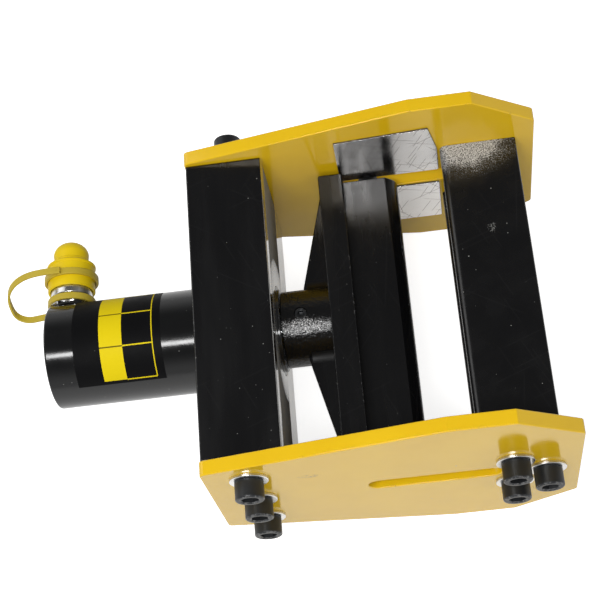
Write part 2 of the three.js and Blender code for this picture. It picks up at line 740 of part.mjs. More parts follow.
// Both wings seen from above: they slope back from the bar to the boss.
function wingPlan() {
  const boss = BOSS_DIAMETER / 2;
  const root = HOLDER_REAR + WING_ROOT;
  const end = PUNCH_WIDTH / 2 - WING_END;
  const shape = new THREE.Shape();
  shape.moveTo(barRear + OVERRUN, -end);
  shape.lineTo(barRear + OVERRUN, end);
  shape.lineTo(barRear, end);
  shape.lineTo(root, boss);
  shape.lineTo(root, -boss);
  shape.lineTo(barRear, -end);
  shape.closePath();
  return shape;
}

const noseScrewSeat = NOSE_REAR - NOSE_SCREW_WEB;
const noseScrewPlaces = [NOSE_SCREW_SPREAD / 2, -NOSE_SCREW_SPREAD / 2];
const lockScrewX = HOLDER_REAR + LOCK_SCREW_INSET;

function noseScrewHoles(front) {
  const head = NOSE_SCREW_HEAD_DIAMETER + 2 * FIT;
  return noseScrewPlaces.flatMap((y) => [
    rodX(head, HOLDER_REAR, noseScrewSeat, MEDIUM_FACETS).translate(0, y, 0),
    rodX(NOSE_SCREW_DIAMETER + 2 * FIT, noseScrewSeat - OVERRUN, front, SMALL_FACETS).translate(0, y, 0),
  ]);
}

function punchHolder() {
  const bar = new THREE.BoxGeometry(BAR_THICKNESS, PUNCH_WIDTH, HOLDER_HEIGHT)
    .translate(barRear + BAR_THICKNESS / 2, 0, 0);
  const options = { depth: WING_HEIGHT, bevelEnabled: false };
  const wings = new THREE.ExtrudeGeometry(wingPlan(), options).translate(0, 0, -WING_HEIGHT / 2);
  const boss = rodX(BOSS_DIAMETER, HOLDER_REAR, barRear + OVERRUN, LARGE_FACETS);
  const rodSocket = rodX(
    ROD_DIAMETER + 2 * FIT, HOLDER_REAR - OVERRUN, HOLDER_REAR + ROD_SOCKET_DEPTH, LARGE_FACETS,
  );
  const seat = new THREE.BoxGeometry(
    NOSE_SEAT_DEPTH + OVERRUN, PUNCH_WIDTH + 2 * OVERRUN, NOSE_HEIGHT + 2 * FIT,
  ).translate(NOSE_REAR + (NOSE_SEAT_DEPTH + OVERRUN) / 2, 0, 0);
  const lockHole = rodZ(LOCK_SCREW_DIAMETER + 2 * FIT, 0, BOSS_DIAMETER, SMALL_FACETS)
    .translate(lockScrewX, 0, 0);
  const screwHoles = noseScrewHoles(NOSE_REAR + OVERRUN);
  return cutBy(joinedTo(bar, [boss, wings]), [rodSocket, seat, lockHole, ...screwHoles]);
}

// The nose from its end: flat above and below, with flanks that run into a round tip.
function noseShape() {
  const half = NOSE_HEIGHT / 2;
  const tip = HOLDER_FRONT + NOSE_REACH;
  const flank = THREE.MathUtils.degToRad(NOSE_FLANK_DEGREES);
  const shape = new THREE.Shape();
  shape.moveTo(NOSE_REAR, -half);
  shape.lineTo(HOLDER_FRONT + NOSE_FLAT, -half);
  for (let i = 0; i <= NOSE_TIP_FACETS; i += 1) {
    const angle = flank * (2 * i / NOSE_TIP_FACETS - 1);
    const x = tip - NOSE_TIP_RADIUS * (1 - Math.cos(angle));
    shape.lineTo(x, NOSE_TIP_RADIUS * Math.sin(angle));
  }
  shape.lineTo(HOLDER_FRONT + NOSE_FLAT, half);
  shape.lineTo(NOSE_REAR, half);
  shape.closePath();
  return shape;
}

function punchNose() {
  const half = PUNCH_WIDTH / 2;
  const pinDepth = PIN_END - GUIDE_PIN_LENGTH - FIT;
  const pinX = HOLDER_FRONT + GUIDE_PIN_INSET;
  const pinHole = GUIDE_PIN_DIAMETER + 2 * FIT;
  const pinHoles = [[pinDepth, half + OVERRUN], [-half - OVERRUN, -pinDepth]].map(([low, high]) => (
    rodY(pinHole, low, high, MEDIUM_FACETS).translate(pinX, 0, 0)
  ));
  const screwHoles = noseScrewPlaces.map((y) => rodX(
    NOSE_SCREW_DIAMETER + 2 * FIT, NOSE_REAR - OVERRUN, noseScrewSeat + NOSE_SCREW_SHANK + FIT, SMALL_FACETS,
  ).translate(0, y, 0));
  return cutBy(slab(noseShape(), -half, half), [...pinHoles, ...screwHoles]);
}

function noseScrew() {
  const radius = NOSE_SCREW_DIAMETER / 2;
  const headRadius = NOSE_SCREW_HEAD_DIAMETER / 2;
  const profile = [
    [0, -NOSE_SCREW_HEAD_HEIGHT],
    [headRadius, -NOSE_SCREW_HEAD_HEIGHT],
    [headRadius, 0],
    [radius, 0],
    [radius, NOSE_SCREW_SHANK],
    [0, NOSE_SCREW_SHANK],
  ];
  const socketFloor = NOSE_SCREW_HEX_DEPTH - NOSE_SCREW_HEAD_HEIGHT;
  const socket = hexBar(NOSE_SCREW_HEX, -NOSE_SCREW_HEAD_HEIGHT - OVERRUN, socketFloor);
  return cutBy(turnedX(profile, SMALL_FACETS), [socket.rotateZ(-Math.PI / 2)]);
}

function lockScrew() {
  const bottom = ROD_DIAMETER / 2 + FIT;
  const top = bottom + LOCK_SCREW_LENGTH;
  const socket = hexBar(LOCK_SCREW_HEX, top - LOCK_SCREW_HEX_DEPTH, top + OVERRUN);
  return cutBy(rodZ(LOCK_SCREW_DIAMETER, bottom, top, SMALL_FACETS), [socket.rotateX(Math.PI / 2)]);
}

// A guide pin along Y, for the far side; the near one is turned round.
function guidePin() {
  const radius = GUIDE_PIN_DIAMETER / 2;
  const profile = [
    [0, PIN_END - GUIDE_PIN_LENGTH],
    [radius, PIN_END - GUIDE_PIN_LENGTH],
    [radius, PIN_END - GUIDE_PIN_CHAMFER],
    [radius - GUIDE_PIN_CHAMFER, PIN_END],
    [0, PIN_END],
  ];
  return turnedY(profile, MEDIUM_FACETS);
}

// Quick coupler, along Y from the port's spot face

const sealTop = PORT_FACE + SEAL_THICKNESS;
const adapterTop = sealTop + ADAPTER_HEX_HEIGHT;
const stubTop = adapterTop + ADAPTER_STUB_LENGTH;
const couplerBaseTop = adapterTop + COUPLER_BASE_HEIGHT;
const couplerThreadTop = couplerBaseTop + COUPLER_THREAD_HEIGHT;
const couplerTop = couplerThreadTop + COUPLER_TIP_HEIGHT;
const chamberTop = couplerTop - COUPLER_SEAT_DEPTH;
const capRim = adapterTop + CAP_SETBACK;

function portSeal() {
  const inner = ADAPTER_THREAD_DIAMETER / 2 + FIT;
  return turnedY(ringProfile(inner, SEAL_DIAMETER / 2, PORT_FACE, sealTop), MEDIUM_FACETS);
}

function couplerAdapter() {
  const thread = rodY(ADAPTER_THREAD_DIAMETER, PORT_FACE - ADAPTER_THREAD_LENGTH, adapterTop, MEDIUM_FACETS);
  const stub = rodY(ADAPTER_STUB_DIAMETER, sealTop, stubTop, MEDIUM_FACETS);
  const body = joinedTo(hexBar(ADAPTER_HEX, sealTop, adapterTop), [thread, stub]);
  const bore = rodY(
    PASSAGE_DIAMETER, PORT_FACE - ADAPTER_THREAD_LENGTH - OVERRUN, stubTop + OVERRUN, SMALL_FACETS,
  );
  return cutBy(body, [bore]);
}

function couplerBody() {
  const profile = [
    [ADAPTER_STUB_DIAMETER / 2 + FIT, adapterTop],
    [COUPLER_BASE_DIAMETER / 2, adapterTop],
    [COUPLER_BASE_DIAMETER / 2, couplerBaseTop],
    [COUPLER_THREAD_DIAMETER / 2, couplerBaseTop],
    [COUPLER_THREAD_DIAMETER / 2, couplerThreadTop],
    [COUPLER_TIP_DIAMETER / 2, couplerThreadTop],
    [COUPLER_TIP_DIAMETER / 2, couplerTop - COUPLER_CHAMFER],
    [COUPLER_TIP_DIAMETER / 2 - COUPLER_CHAMFER, couplerTop],
    [POPPET_MOUTH_DIAMETER / 2, couplerTop],
    [POPPET_MOUTH_DIAMETER / 2, chamberTop],
    [CHAMBER_DIAMETER / 2, chamberTop],
    [CHAMBER_DIAMETER / 2, stubTop + FIT],
    [ADAPTER_STUB_DIAMETER / 2 + FIT, stubTop + FIT],
    [ADAPTER_STUB_DIAMETER / 2 + FIT, adapterTop],
  ];
  return turnedY(profile, MEDIUM_FACETS);
}

function poppet() {
  const disc = chamberTop - FIT;
  const profile = [
    [0, disc - POPPET_DISC_HEIGHT],
    [CHAMBER_DIAMETER / 2 - FIT, disc - POPPET_DISC_HEIGHT],
    [CHAMBER_DIAMETER / 2 - FIT, disc],
    [POPPET_MOUTH_DIAMETER / 2 - FIT, disc],
    [POPPET_MOUTH_DIAMETER / 2 - FIT, couplerTop + POPPET_STAND],
    [0, couplerTop + POPPET_STAND],
  ];
  return turnedY(profile, MEDIUM_FACETS);
}

function poppetSpring() {
  const top = chamberTop - FIT - POPPET_DISC_HEIGHT - FIT;
  return coil(
    POPPET_SPRING_MEAN_DIAMETER, POPPET_SPRING_WIRE, POPPET_SPRING_TURNS, stubTop + FIT, top,
  );
}

// Dust cap and tether

const capFlange = capRim + CAP_SKIRT_LENGTH;
const capShoulder = capFlange + CAP_FLANGE_HEIGHT;
const capSideTop = capShoulder + CAP_CROWN_SIDE;

// A domed crown on a flange and a straight skirt, hollow from the rim up.
function dustCap() {
  const skirt = CAP_SKIRT_DIAMETER / 2;
  const crown = CAP_CROWN_DIAMETER / 2;
  const flange = CAP_FLANGE_DIAMETER / 2;
  const hollowTop = capSideTop + CAP_HOLLOW_RISE;
  const dome = [];
  for (let i = 1; i <= CAP_CROWN_ARCS; i += 1) {
    const angle = Math.PI / 2 * i / CAP_CROWN_ARCS;
    const radius = i === CAP_CROWN_ARCS ? 0 : crown * Math.cos(angle);
    dome.push([radius, capSideTop + CAP_CROWN_RISE * Math.sin(angle)]);
  }
  const profile = [
    [0, hollowTop],
    [crown - CAP_CROWN_WALL, hollowTop],
    [crown - CAP_CROWN_WALL, capShoulder - CAP_WALL],
    [skirt - CAP_WALL, capShoulder - CAP_WALL],
    [skirt - CAP_WALL, capRim],
    [skirt, capRim],
    [skirt, capFlange],
    [flange, capFlange],
    [flange, capShoulder],
    [crown, capShoulder],
    [crown, capSideTop],
    ...dome,
  ];
  return turnedY(profile, LARGE_FACETS);
}

const baseRingLow = sealTop + FIT;
const capRingLow = capRim + TETHER_CAP_RISE;
const baseRingInner = ADAPTER_HEX / SQUARE_ROOT_3 + FIT;
const capRingInner = CAP_SKIRT_DIAMETER / 2 + FIT;

function tetherRing(inner, low) {
  return turnedY(ringProfile(inner, inner + TETHER_RING_WALL, low, low + TETHER_WIDTH), LARGE_FACETS);
}

// The band's way round: from under the ring on the hexagon, out and up to the top of the ring
// on the cap. The shares of a point are of the reach, of the way from ring to ring, and of
// the sag.
const ROUTE_SHARES = [
  [0.24, 0, -0.79],
  [0.455, 0, -0.8],
  [0.64, 0.02, -0.92],
  [0.817, 0.065, -1],
  [0.948, 0.17, -0.83],
  [1, 0.38, -0.39],
  [0.986, 0.585, 0.08],
  [0.887, 0.77, 0.55],
  [0.68, 0.94, 0.89],
  [0.41, 1, 1.055],
];

function tetherRoute() {
  const baseLevel = baseRingLow + TETHER_WIDTH / 2;
  const capLevel = capRingLow + TETHER_WIDTH / 2;
  const start = baseRingInner + TETHER_RING_WALL / 2;
  const end = capRingInner + TETHER_RING_WALL + FIT + TETHER_THICKNESS / 2;
  const between = ROUTE_SHARES.map(([reach, rise, sag]) => new THREE.Vector3(
    -reach * TETHER_REACH, baseLevel + rise * (capLevel - baseLevel), sag * TETHER_SAG,
  ));
  return new THREE.CatmullRomCurve3([
    new THREE.Vector3(0, baseLevel, -start),
    ...between,
    new THREE.Vector3(-TETHER_LAP, capLevel, end),
  ]);
}

// A flat band along a route, its width as near to the Y axis as the route lets it lie.
function ribbon(route, thickness, width, steps) {
  const positions = [];
  const corners = [];
  const sections = [[1, 1], [1, -1], [-1, -1], [-1, 1]];
  for (let i = 0; i <= steps; i += 1) {
    const centre = route.getPointAt(i / steps);
    const along = route.getTangentAt(i / steps);
    const across = new THREE.Vector3(0, 1, 0).addScaledVector(along, -along.y).normalize();
    const outward = new THREE.Vector3().crossVectors(along, across);
    for (const [up, out] of sections) {
      const corner = centre.clone()
        .addScaledVector(across, up * width / 2)
        .addScaledVector(outward, out * thickness / 2);
      positions.push(corner.x, corner.y, corner.z);
    }
  }
  const sides = sections.length;
  for (let i = 0; i < steps; i += 1) {
    for (let k = 0; k < sides; k += 1) {
      const next = (k + 1) % sides;
      const [a, b] = [i * sides + k, i * sides + next];
      corners.push(a, b, b + sides, a, b + sides, a + sides);
    }
  }
  const last = steps * sides;
  for (let k = 1; k < sides - 1; k += 1) {
    corners.push(0, k + 1, k, last, last + k, last + k + 1);
  }
  const geometry = new THREE.BufferGeometry();
  geometry.setAttribute('position', new THREE.Float32BufferAttribute(positions, 3));
  geometry.setIndex(corners);
  return closed(geometry);
}

function tether() {
  const band = ribbon(tetherRoute(), TETHER_THICKNESS, TETHER_WIDTH, TETHER_STEPS);
  const [low, high] = [baseRingLow - OVERRUN, baseRingLow + TETHER_WIDTH + OVERRUN];
  const keepOut = rodY(2 * baseRingInner, low, high, LARGE_FACETS);
  return cutBy(joinedTo(tetherRing(baseRingInner, baseRingLow), [band]), [keepOut]);
}

// Assembly

const frame = new THREE.Group();
const upper = upperWearShape();
const lower = lowerWearShape();
for (const [sideName, side] of [['near', -1], ['far', 1]]) {
  frame.add(
    piece(`${sideName}_side_plate`, sidePlate(side), 'yellowPaint'),
    piece(`${sideName}_upper_wear_strip`, wearStrip(upper, side), 'groundSteel'),
    piece(`${sideName}_lower_wear_strip`, wearStrip(lower, side), 'groundSteel'),
    ...fastenersOf(sideName, side, 'rear', rearBolts),
    ...fastenersOf(sideName, side, 'front', frontBolts),
  );
}
frame.add(
  piece('rear_block', rearBlock(), 'blackPaint'),
  piece('front_block', frontBlock(), 'blackPaint'),
);

const cylinder = new THREE.Group();
cylinder.add(
  piece('cylinder_barrel', barrel(), 'blackPaint'),
  piece('gland', gland(), 'blackOxide'),
  piece('gland_o_ring', glandRing(), 'blackRubber'),
  piece('rod_seal', rodSeal(), 'sealPolymer'),
  piece('rod_wiper', rodWiper(), 'blackRubber'),
);

const ram = new THREE.Group();
ram.add(
  piece('piston_rod', pistonRod(), 'chrome'),
  piece('piston', piston(), 'groundSteel'),
  piece('piston_seal', pistonRing(PISTON_SEAL_INSET, PISTON_SEAL_WIDTH, PISTON_SEAL_DEPTH), 'sealPolymer'),
  piece('piston_guide_band', pistonRing(PISTON_BAND_INSET, PISTON_BAND_WIDTH, PISTON_BAND_DEPTH), 'brass'),
  piece('return_spring', returnSpring(), 'springSteel'),
);

const punch = new THREE.Group();
punch.add(
  piece('punch_holder', punchHolder(), 'castBlack'),
  piece('punch_nose', punchNose(), 'castBlack'),
  piece('lock_screw', lockScrew(), 'blackOxide'),
);
punch.getObjectByName('lock_screw').position.x = lockScrewX;
for (const [sideName, side] of [['near', -1], ['far', 1]]) {
  const screw = piece(`${sideName}_nose_screw`, noseScrew(), 'blackOxide');
  screw.position.set(noseScrewSeat, side * NOSE_SCREW_SPREAD / 2, 0);
  const pin = piece(`${sideName}_guide_pin`, guidePin(), 'groundSteel');
  pin.position.x = HOLDER_FRONT + GUIDE_PIN_INSET;
  if (side < 0) pin.rotateOnAxis(AXIS_X, Math.PI);
  punch.add(screw, pin);
}

const coupler = new THREE.Group();
coupler.position.x = PORT_X;
coupler.add(
  piece('port_seal', portSeal(), 'blackRubber'),
  piece('coupler_adapter', couplerAdapter(), 'zincSteel'),
  piece('coupler_body', couplerBody(), 'zincSteel'),
  piece('coupler_poppet', poppet(), 'groundSteel'),
  piece('poppet_spring', poppetSpring(), 'springSteel'),
  piece('dust_cap', dustCap(), 'yellowPlastic'),
  piece('tether_cap_ring', tetherRing(capRingInner, capRingLow), 'yellowPlastic'),
  piece('cap_tether', tether(), 'yellowPlastic'),
);

const bender = new THREE.Group();
bender.name = 'busbar_bender';
bender.add(frame, cylinder, ram, punch, coupler);
bender.updateMatrixWorld(true);
const box = new THREE.Box3().setFromObject(bender);
const middle = box.getCenter(new THREE.Vector3());
bender.position.set(-middle.x, -middle.y, -box.min.z);
bender.updateMatrixWorld(true);

export default bender;
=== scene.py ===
"""Looks of a hydraulic busbar bender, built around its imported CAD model.

Everything is drawn in millimetres in the tool's own frame: X runs along the ram from the plates'
rear ends towards the die, Y from the near plate to the far plate, and Z up from the ram's axis.
Drawing.place turns that into metres in the row frame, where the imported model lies.
"""
import logging
import math
from dataclasses import dataclass, replace
from enum import Enum
from functools import cached_property, reduce
from typing import Sequence

import bpy
import numpy as np
from bpy.types import ID, Material, Mesh, Node, NodeTree, Object
from bpy.types import NodeSocket as Socket
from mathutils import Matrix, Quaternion, Vector
from mathutils.geometry import tessellate_polygon


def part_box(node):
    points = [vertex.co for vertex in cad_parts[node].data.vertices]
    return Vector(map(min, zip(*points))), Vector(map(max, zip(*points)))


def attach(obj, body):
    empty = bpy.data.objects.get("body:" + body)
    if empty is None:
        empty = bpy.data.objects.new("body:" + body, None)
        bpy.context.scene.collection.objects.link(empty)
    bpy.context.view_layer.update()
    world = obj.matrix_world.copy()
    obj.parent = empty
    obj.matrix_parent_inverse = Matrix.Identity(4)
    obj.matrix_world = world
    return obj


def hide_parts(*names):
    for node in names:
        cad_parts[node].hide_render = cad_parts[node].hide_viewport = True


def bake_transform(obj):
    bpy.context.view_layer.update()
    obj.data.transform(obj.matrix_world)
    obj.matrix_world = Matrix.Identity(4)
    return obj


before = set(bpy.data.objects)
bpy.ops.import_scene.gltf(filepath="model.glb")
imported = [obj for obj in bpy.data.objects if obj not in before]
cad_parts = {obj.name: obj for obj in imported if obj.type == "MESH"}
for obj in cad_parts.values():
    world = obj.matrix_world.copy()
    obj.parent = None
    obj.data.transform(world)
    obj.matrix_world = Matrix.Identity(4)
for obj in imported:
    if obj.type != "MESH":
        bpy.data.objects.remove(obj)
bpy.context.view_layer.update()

LOG = logging.getLogger("busbar_bender")
MM = 0.001
SMOOTH_LIMIT = math.radians(38)

# In millimetres: how near points are merged, from a round edge to the point that keeps the flat
# beside it flat, and the clearance between pieces
WELD = 1e-5
GUARD = 0.3
FIT = 0.3

# The radius of a circle that lies well outside every hexagon
WIDE = 50.0

Array = np.ndarray
Numbers = Sequence[float]
Points = Sequence[Numbers]
Pair = tuple[float, float]
Triple = tuple[float, float, float]
Colour = Triple
Value = float | Numbers | Socket


class Axis(Enum):
    """The axis that a slab is as thick along, or that a turned shape turns about."""

    X = (2, 0, 1)
    Y = (0, 2, 1)
    Z = (0, 1, 2)

    def spread(self, points: Array) -> Array:
        """Puts points given as (across, across, along) into X, Y, Z for this axis."""
        return points[..., list(self.value)]


class Side(Enum):
    """The two sides of the tool. The value is the side's sign along Y."""

    NEAR = -1
    FAR = 1

    @property
    def word(self) -> str:
        """The side's word in the names of pieces."""
        return self.name.lower()


class Body(Enum):
    """The moving bodies of the CAD model."""

    FRAME = "frame"
    PUNCH = "punch"
    CAP = "cap"
    POPPET = "poppet"


class Drawing:
    """The place of the tool's own frame in the row frame."""

    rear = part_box("near_side_plate")[0].x
    level = sum(corner.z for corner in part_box("piston_rod")) / 2

    @classmethod
    def place(cls, points: Array) -> Array:
        """Millimetres in the tool's frame as metres in the row frame."""
        return np.asarray(points, float) * MM + [cls.rear, 0.0, cls.level]


# Surfaces


@dataclass
class Shell:
    """A closed surface in millimetres.

    points holds one row per point, faces holds arrays of four or three point numbers, and wear
    is 1 on points that lie on a worn edge and 0 on flats.
    """

    points: Array
    faces: list[Array]
    wear: Array

    def outward(self) -> "Shell":
        """Turns the faces to point out of the volume.

        Six times the signed volume is the sum of each fan triangle's triple product.

        Returns:
            The surface itself.
        """
        volume = 0.0
        for group in self.faces:
            a = self.points[group[:, 0]]
            for k in range(1, group.shape[1] - 1):
                b, c = self.points[group[:, k]], self.points[group[:, k + 1]]
                volume += float(np.einsum("ij,ij->", a, np.cross(b, c)))
        if volume < 0:
            self.faces = [group[:, ::-1] for group in self.faces]
        return self

    def welded(self) -> "Shell":
        """The same surface with points at one place merged and collapsed faces dropped.

        Returns:
            The new surface.
        """
        keys = np.round(self.points / WELD).astype(np.int64)
        _, first, number = np.unique(keys, axis=0, return_index=True, return_inverse=True)
        number = number.reshape(-1)
        kept: list[Array] = []
        for group in self.faces:
            corners = number[group]
            same = corners == np.roll(corners, -1, axis=1)
            repeats = same.sum(axis=1)
            kept.append(corners[repeats == 0])
            if corners.shape[1] == 4:
                kept.append(corners[repeats == 1][~same[repeats == 1]].reshape(-1, 3))
        faces = [group for group in kept if len(group)]
        return Shell(self.points[first], faces, self.wear[first])

    def moved(self, shift: Numbers) -> "Shell":
        """A copy of the surface, shifted."""
        return Shell(self.points + shift, self.faces, self.wear)

    def mirrored(self, axis: int = 1) -> "Shell":
        """A copy of the surface on the other side of the plane where X, Y or Z is 0."""
        points = self.points * np.where(np.arange(3) == axis, -1, 1)
        return Shell(points, [group[:, ::-1] for group in self.faces], self.wear)

    @staticmethod
    def joined(shells: Sequence["Shell"]) -> "Shell":
        """Several surfaces as one.

        Args:
            shells: The surfaces.

        Returns:
            The joined surface.
        """
        starts = np.cumsum([0] + [len(shell.points) for shell in shells])
        faces = [group + start for shell, start in zip(shells, starts) for group in shell.faces]
        points = np.concatenate([shell.points for shell in shells])
        return Shell(points, faces, np.concatenate([shell.wear for shell in shells]))


def rounded(
    corners: Points,
    radii: float | Numbers,
    steps: int = 5,
    guard: float = GUARD,
    closed: bool = True,
) -> tuple[Array, Array]:
    """Rounds the corners of an outline.

    The arc at a corner is the slerp between the two directions from its centre to where it
    leaves the sides. A guard point follows each arc's end, so that flats shade flat.

    Args:
        corners: The outline's corners, in order.
        radii: The radius of each corner, or one for all.
        steps: Facets in each arc.
        guard: Distance from an arc's end to its guard point.
        closed: Whether the outline closes on itself. An open one keeps its two ends.

    Returns:
        The outline's points, and 1 for each point on an arc, 0 for the others.
    """
    points = np.asarray(corners, float)
    here = points if closed else points[1:-1]
    before = np.roll(points, 1, axis=0) if closed else points[:-2]
    after = np.roll(points, -1, axis=0) if closed else points[2:]
    radius = np.broadcast_to(np.asarray(radii, float), (len(here),))
    back, ahead = before - here, after - here
    back = back / np.linalg.norm(back, axis=1, keepdims=True)
    ahead = ahead / np.linalg.norm(ahead, axis=1, keepdims=True)
    half = np.arccos(np.clip((back * ahead).sum(axis=1), -1, 1)) / 2
    reach = (radius / np.tan(half))[:, None]
    middle = (back + ahead) / np.linalg.norm(back + ahead, axis=1, keepdims=True)
    centre = here + middle * (radius / np.sin(half))[:, None]
    start, end = here + back * reach - centre, here + ahead * reach - centre
    turn = (np.pi - 2 * half)[:, None]
    share = np.linspace(0, 1, steps + 1)[None, :]
    first = np.sin((1 - share) * turn) / np.sin(turn)
    second = np.sin(share * turn) / np.sin(turn)
    arc = centre[:, None] + first[..., None] * start[:, None] + second[..., None] * end[:, None]
    lead = (here + back * (reach + guard))[:, None]
    trail = (here + ahead * (reach + guard))[:, None]
    outline = np.concatenate([lead, arc, trail], axis=1).reshape(-1, 2)
    on_arc = np.tile(np.r_[0, np.ones(steps + 1), 0], len(here))
    if closed:
        return outline, on_arc
    return np.concatenate([points[:1], outline, points[-1:]]), np.r_[0, on_arc, 0]


def circle(centre: Numbers, radius: float, count: int = 48) -> Array:
    """Points on a circle: the centre plus the radius times (cosine, sine)."""
    angle = np.arange(count) * 2 * np.pi / count
    return centre + radius * np.stack([np.cos(angle), np.sin(angle)], axis=1)


def long_hole(start: float, end: float, width: float) -> Array:
    """Outline of a slot along X: two half circles, with a guard point by each of their ends.

    Args:
        start: Place of the slot's rear end.
        end: Place of its front end.
        width: Its width.

    Returns:
        The outline's points.
    """
    radius, guard, steps = width / 2, 0.5, 24
    angle = np.linspace(-np.pi / 2, np.pi / 2, steps + 1)
    bow = radius * np.stack([np.cos(angle), np.sin(angle)], axis=1)
    front = np.concatenate([[[-guard, -radius]], bow, [[-guard, radius]]]) + [end - radius, 0]
    rear = np.concatenate([[[guard, radius]], -bow, [[guard, -radius]]]) + [start + radius, 0]
    return np.concatenate([front, rear])


def edge_profile(low: float, high: float, radius: float, guard: float = GUARD) -> Array:
    """The way over a slab's side, from its lower face to its upper one.

    At an angle t from 0 to 90 degrees the edge lies radius times (1 - sin t) inside the outline
    and radius times (1 - cos t) from the face.

    Args:
        low: Place of the lower face.
        high: Place of the upper face.
        radius: Radius of both edges.
        guard: Distance from an edge's arc to its guard rows.

    Returns:
        Rows of inset, place and wear.
    """
    steps = 3
    angle = np.linspace(0, np.pi / 2, steps + 1)
    inset, rise = radius * (1 - np.sin(angle)), radius * (1 - np.cos(angle))
    arc = np.stack([inset, rise, np.ones(steps + 1)], axis=1)
    bottom = np.concatenate([[[radius + guard, 0, 0]], arc, [[0, radius + guard, 0]]])
    top = bottom[::-1] * [1, -1, 1]
    return np.concatenate([bottom + [0, low, 0], top + [0, high, 0]])


def quads(rows: int, columns: int, wrap_rows: bool = False, wrap_columns: bool = True) -> Array:
    """Point numbers of the faces between the rows and columns of a grid.

    Args:
        rows: The number of rows.
        columns: The number of points in a row.
        wrap_rows: Whether the last row meets the first.
        wrap_columns: Whether a row's last point meets its first.

    Returns:
        Rows of four point numbers.
    """
    row = np.arange(rows if wrap_rows else rows - 1)[:, None]
    column = np.arange(columns if wrap_columns else columns - 1)[None, :]
    above, beside = (row + 1) % rows, (column + 1) % columns
    corners = [row * columns + column, row * columns + beside, above * columns + beside,
               above * columns + column]
    return np.stack(np.broadcast_arrays(*corners), axis=-1).reshape(-1, 4)


def slab(
    loops: Sequence[Array], profiles: Array | Sequence[Array], axis: Axis
) -> Shell:
    """A plate or block with rounded edges.

    Each outline is carried along its profile: a point lies at the outline's point plus the
    profile's inset times the corner's miter, which points into the material. The material is
    on the left of each outline, so holes run clockwise. Flat faces close both ends.

    Args:
        loops: The outer outline, then those of the holes.
        profiles: Rows of inset, place and wear, for all outlines or for each.
        axis: The axis along the slab's thickness.

    Returns:
        The closed surface.
    """
    each = [profiles] * len(loops) if isinstance(profiles, Array) else list(profiles)
    points, faces, wear, low_rows, high_rows, count = [], [], [], [], [], 0
    for loop, profile in zip(loops, each):
        ahead = np.roll(loop, -1, axis=0) - loop
        normal = np.stack([-ahead[:, 1], ahead[:, 0]], axis=1)
        normal /= np.linalg.norm(normal, axis=1, keepdims=True)
        before = np.roll(normal, 1, axis=0)
        miter = (before + normal) / (1 + (before * normal).sum(axis=1, keepdims=True))
        flat = loop[None] + profile[:, 0, None, None] * miter[None]
        place = np.broadcast_to(profile[:, 1, None, None], flat.shape[:2] + (1,))
        points.append(np.concatenate([flat, place], axis=2).reshape(-1, 3))
        wear.append(np.repeat(profile[:, 2], len(loop)))
        faces.append(quads(len(profile), len(loop)) + count)
        low_rows.append(np.arange(len(loop)) + count)
        high_rows.append(np.arange(len(loop)) + count + (len(profile) - 1) * len(loop))
        count += flat.shape[0] * flat.shape[1]
    cloud, no_area = np.concatenate(points), 1e-9
    for rows, upward in ((low_rows, False), (high_rows, True)):
        outlines = [[Vector((*cloud[i, :2], 0)) for i in row] for row in rows]
        corners = np.concatenate(rows)[np.array(tessellate_polygon(outlines))]
        a, b, c = (cloud[corners[:, k], :2] for k in range(3))
        area = (b - a)[:, 0] * (c - a)[:, 1] - (b - a)[:, 1] * (c - a)[:, 0]
        real = np.abs(area) > no_area
        corners = corners[real]
        turned_over = (area[real] > 0) != upward
        corners[turned_over] = corners[turned_over][:, ::-1]
        faces.append(corners)
    return Shell(axis.spread(cloud), faces, np.concatenate(wear)).outward()


def block(
    corners: Points,
    radii: float | Numbers,
    ends: Numbers,
    edge: float,
    axis: Axis,
    guard: float = GUARD,
) -> Shell:
    """A block: an outline with rounded corners between two faces with rounded edges."""
    return slab([rounded(corners, radii)[0]], edge_profile(*ends, edge, guard), axis)


def rectangle(low: Numbers, high: Numbers) -> list[Pair]:
    """Corners of the rectangle between two opposite ones."""
    return [(low[0], low[1]), (high[0], low[1]), (high[0], high[1]), (low[0], high[1])]


def shaft(places: Numbers, radii: Numbers, inner: float = 0.0) -> list[Pair]:
    """Corners of a stepped shaft's profile: one radius between each two places, ends at inner."""
    steps = [(place, r) for r, ends in zip(radii, zip(places, places[1:])) for place in ends]
    return [(places[0], inner), *steps, (places[-1], inner)]


def turned(
    profile: Array, wear: Array, axis: Axis, closed: bool = False, segments: int = 96
) -> Shell:
    """A surface of revolution.

    The point at angle a of a profile's point (place, radius) lies at the place along the axis
    and at radius times (cosine a, sine a) across it.

    Args:
        profile: Rows of place along the axis and radius.
        wear: The wear of each of the profile's points.
        axis: The axis of revolution.
        closed: Whether the profile closes on itself, as a ring's does.
        segments: Facets round the axis.

    Returns:
        The closed surface.
    """
    angle = np.arange(segments) * 2 * np.pi / segments
    place = np.broadcast_to(profile[:, 0, None], (len(profile), segments))
    across = profile[:, 1, None] * np.cos(angle), profile[:, 1, None] * np.sin(angle)
    points = axis.spread(np.stack([*across, place], axis=-1)).reshape(-1, 3)
    faces = [quads(len(profile), segments, wrap_rows=closed)]
    return Shell(points, faces, np.repeat(wear, segments)).welded().outward()


def refined(
    profile: Array, wear: Array, places: Array, radius: float
) -> tuple[Array, Array]:
    """Adds points to a profile's straight stretch, so that its surface can be shaped.

    Args:
        profile: Rows of place along the axis and radius.
        wear: The wear of each of the profile's points.
        places: Places of the new points, from the stretch's start to its end.
        radius: The stretch's radius.

    Returns:
        The longer profile and its wear.
    """
    ahead = (profile[:, 0] > places[0]) & (profile[:, 1] > radius - 1)
    after = np.flatnonzero(ahead)[0]
    rows = np.stack([places, np.full(len(places), radius)], axis=1)
    return np.insert(profile, after, rows, axis=0), np.insert(wear, after, 0 * places)


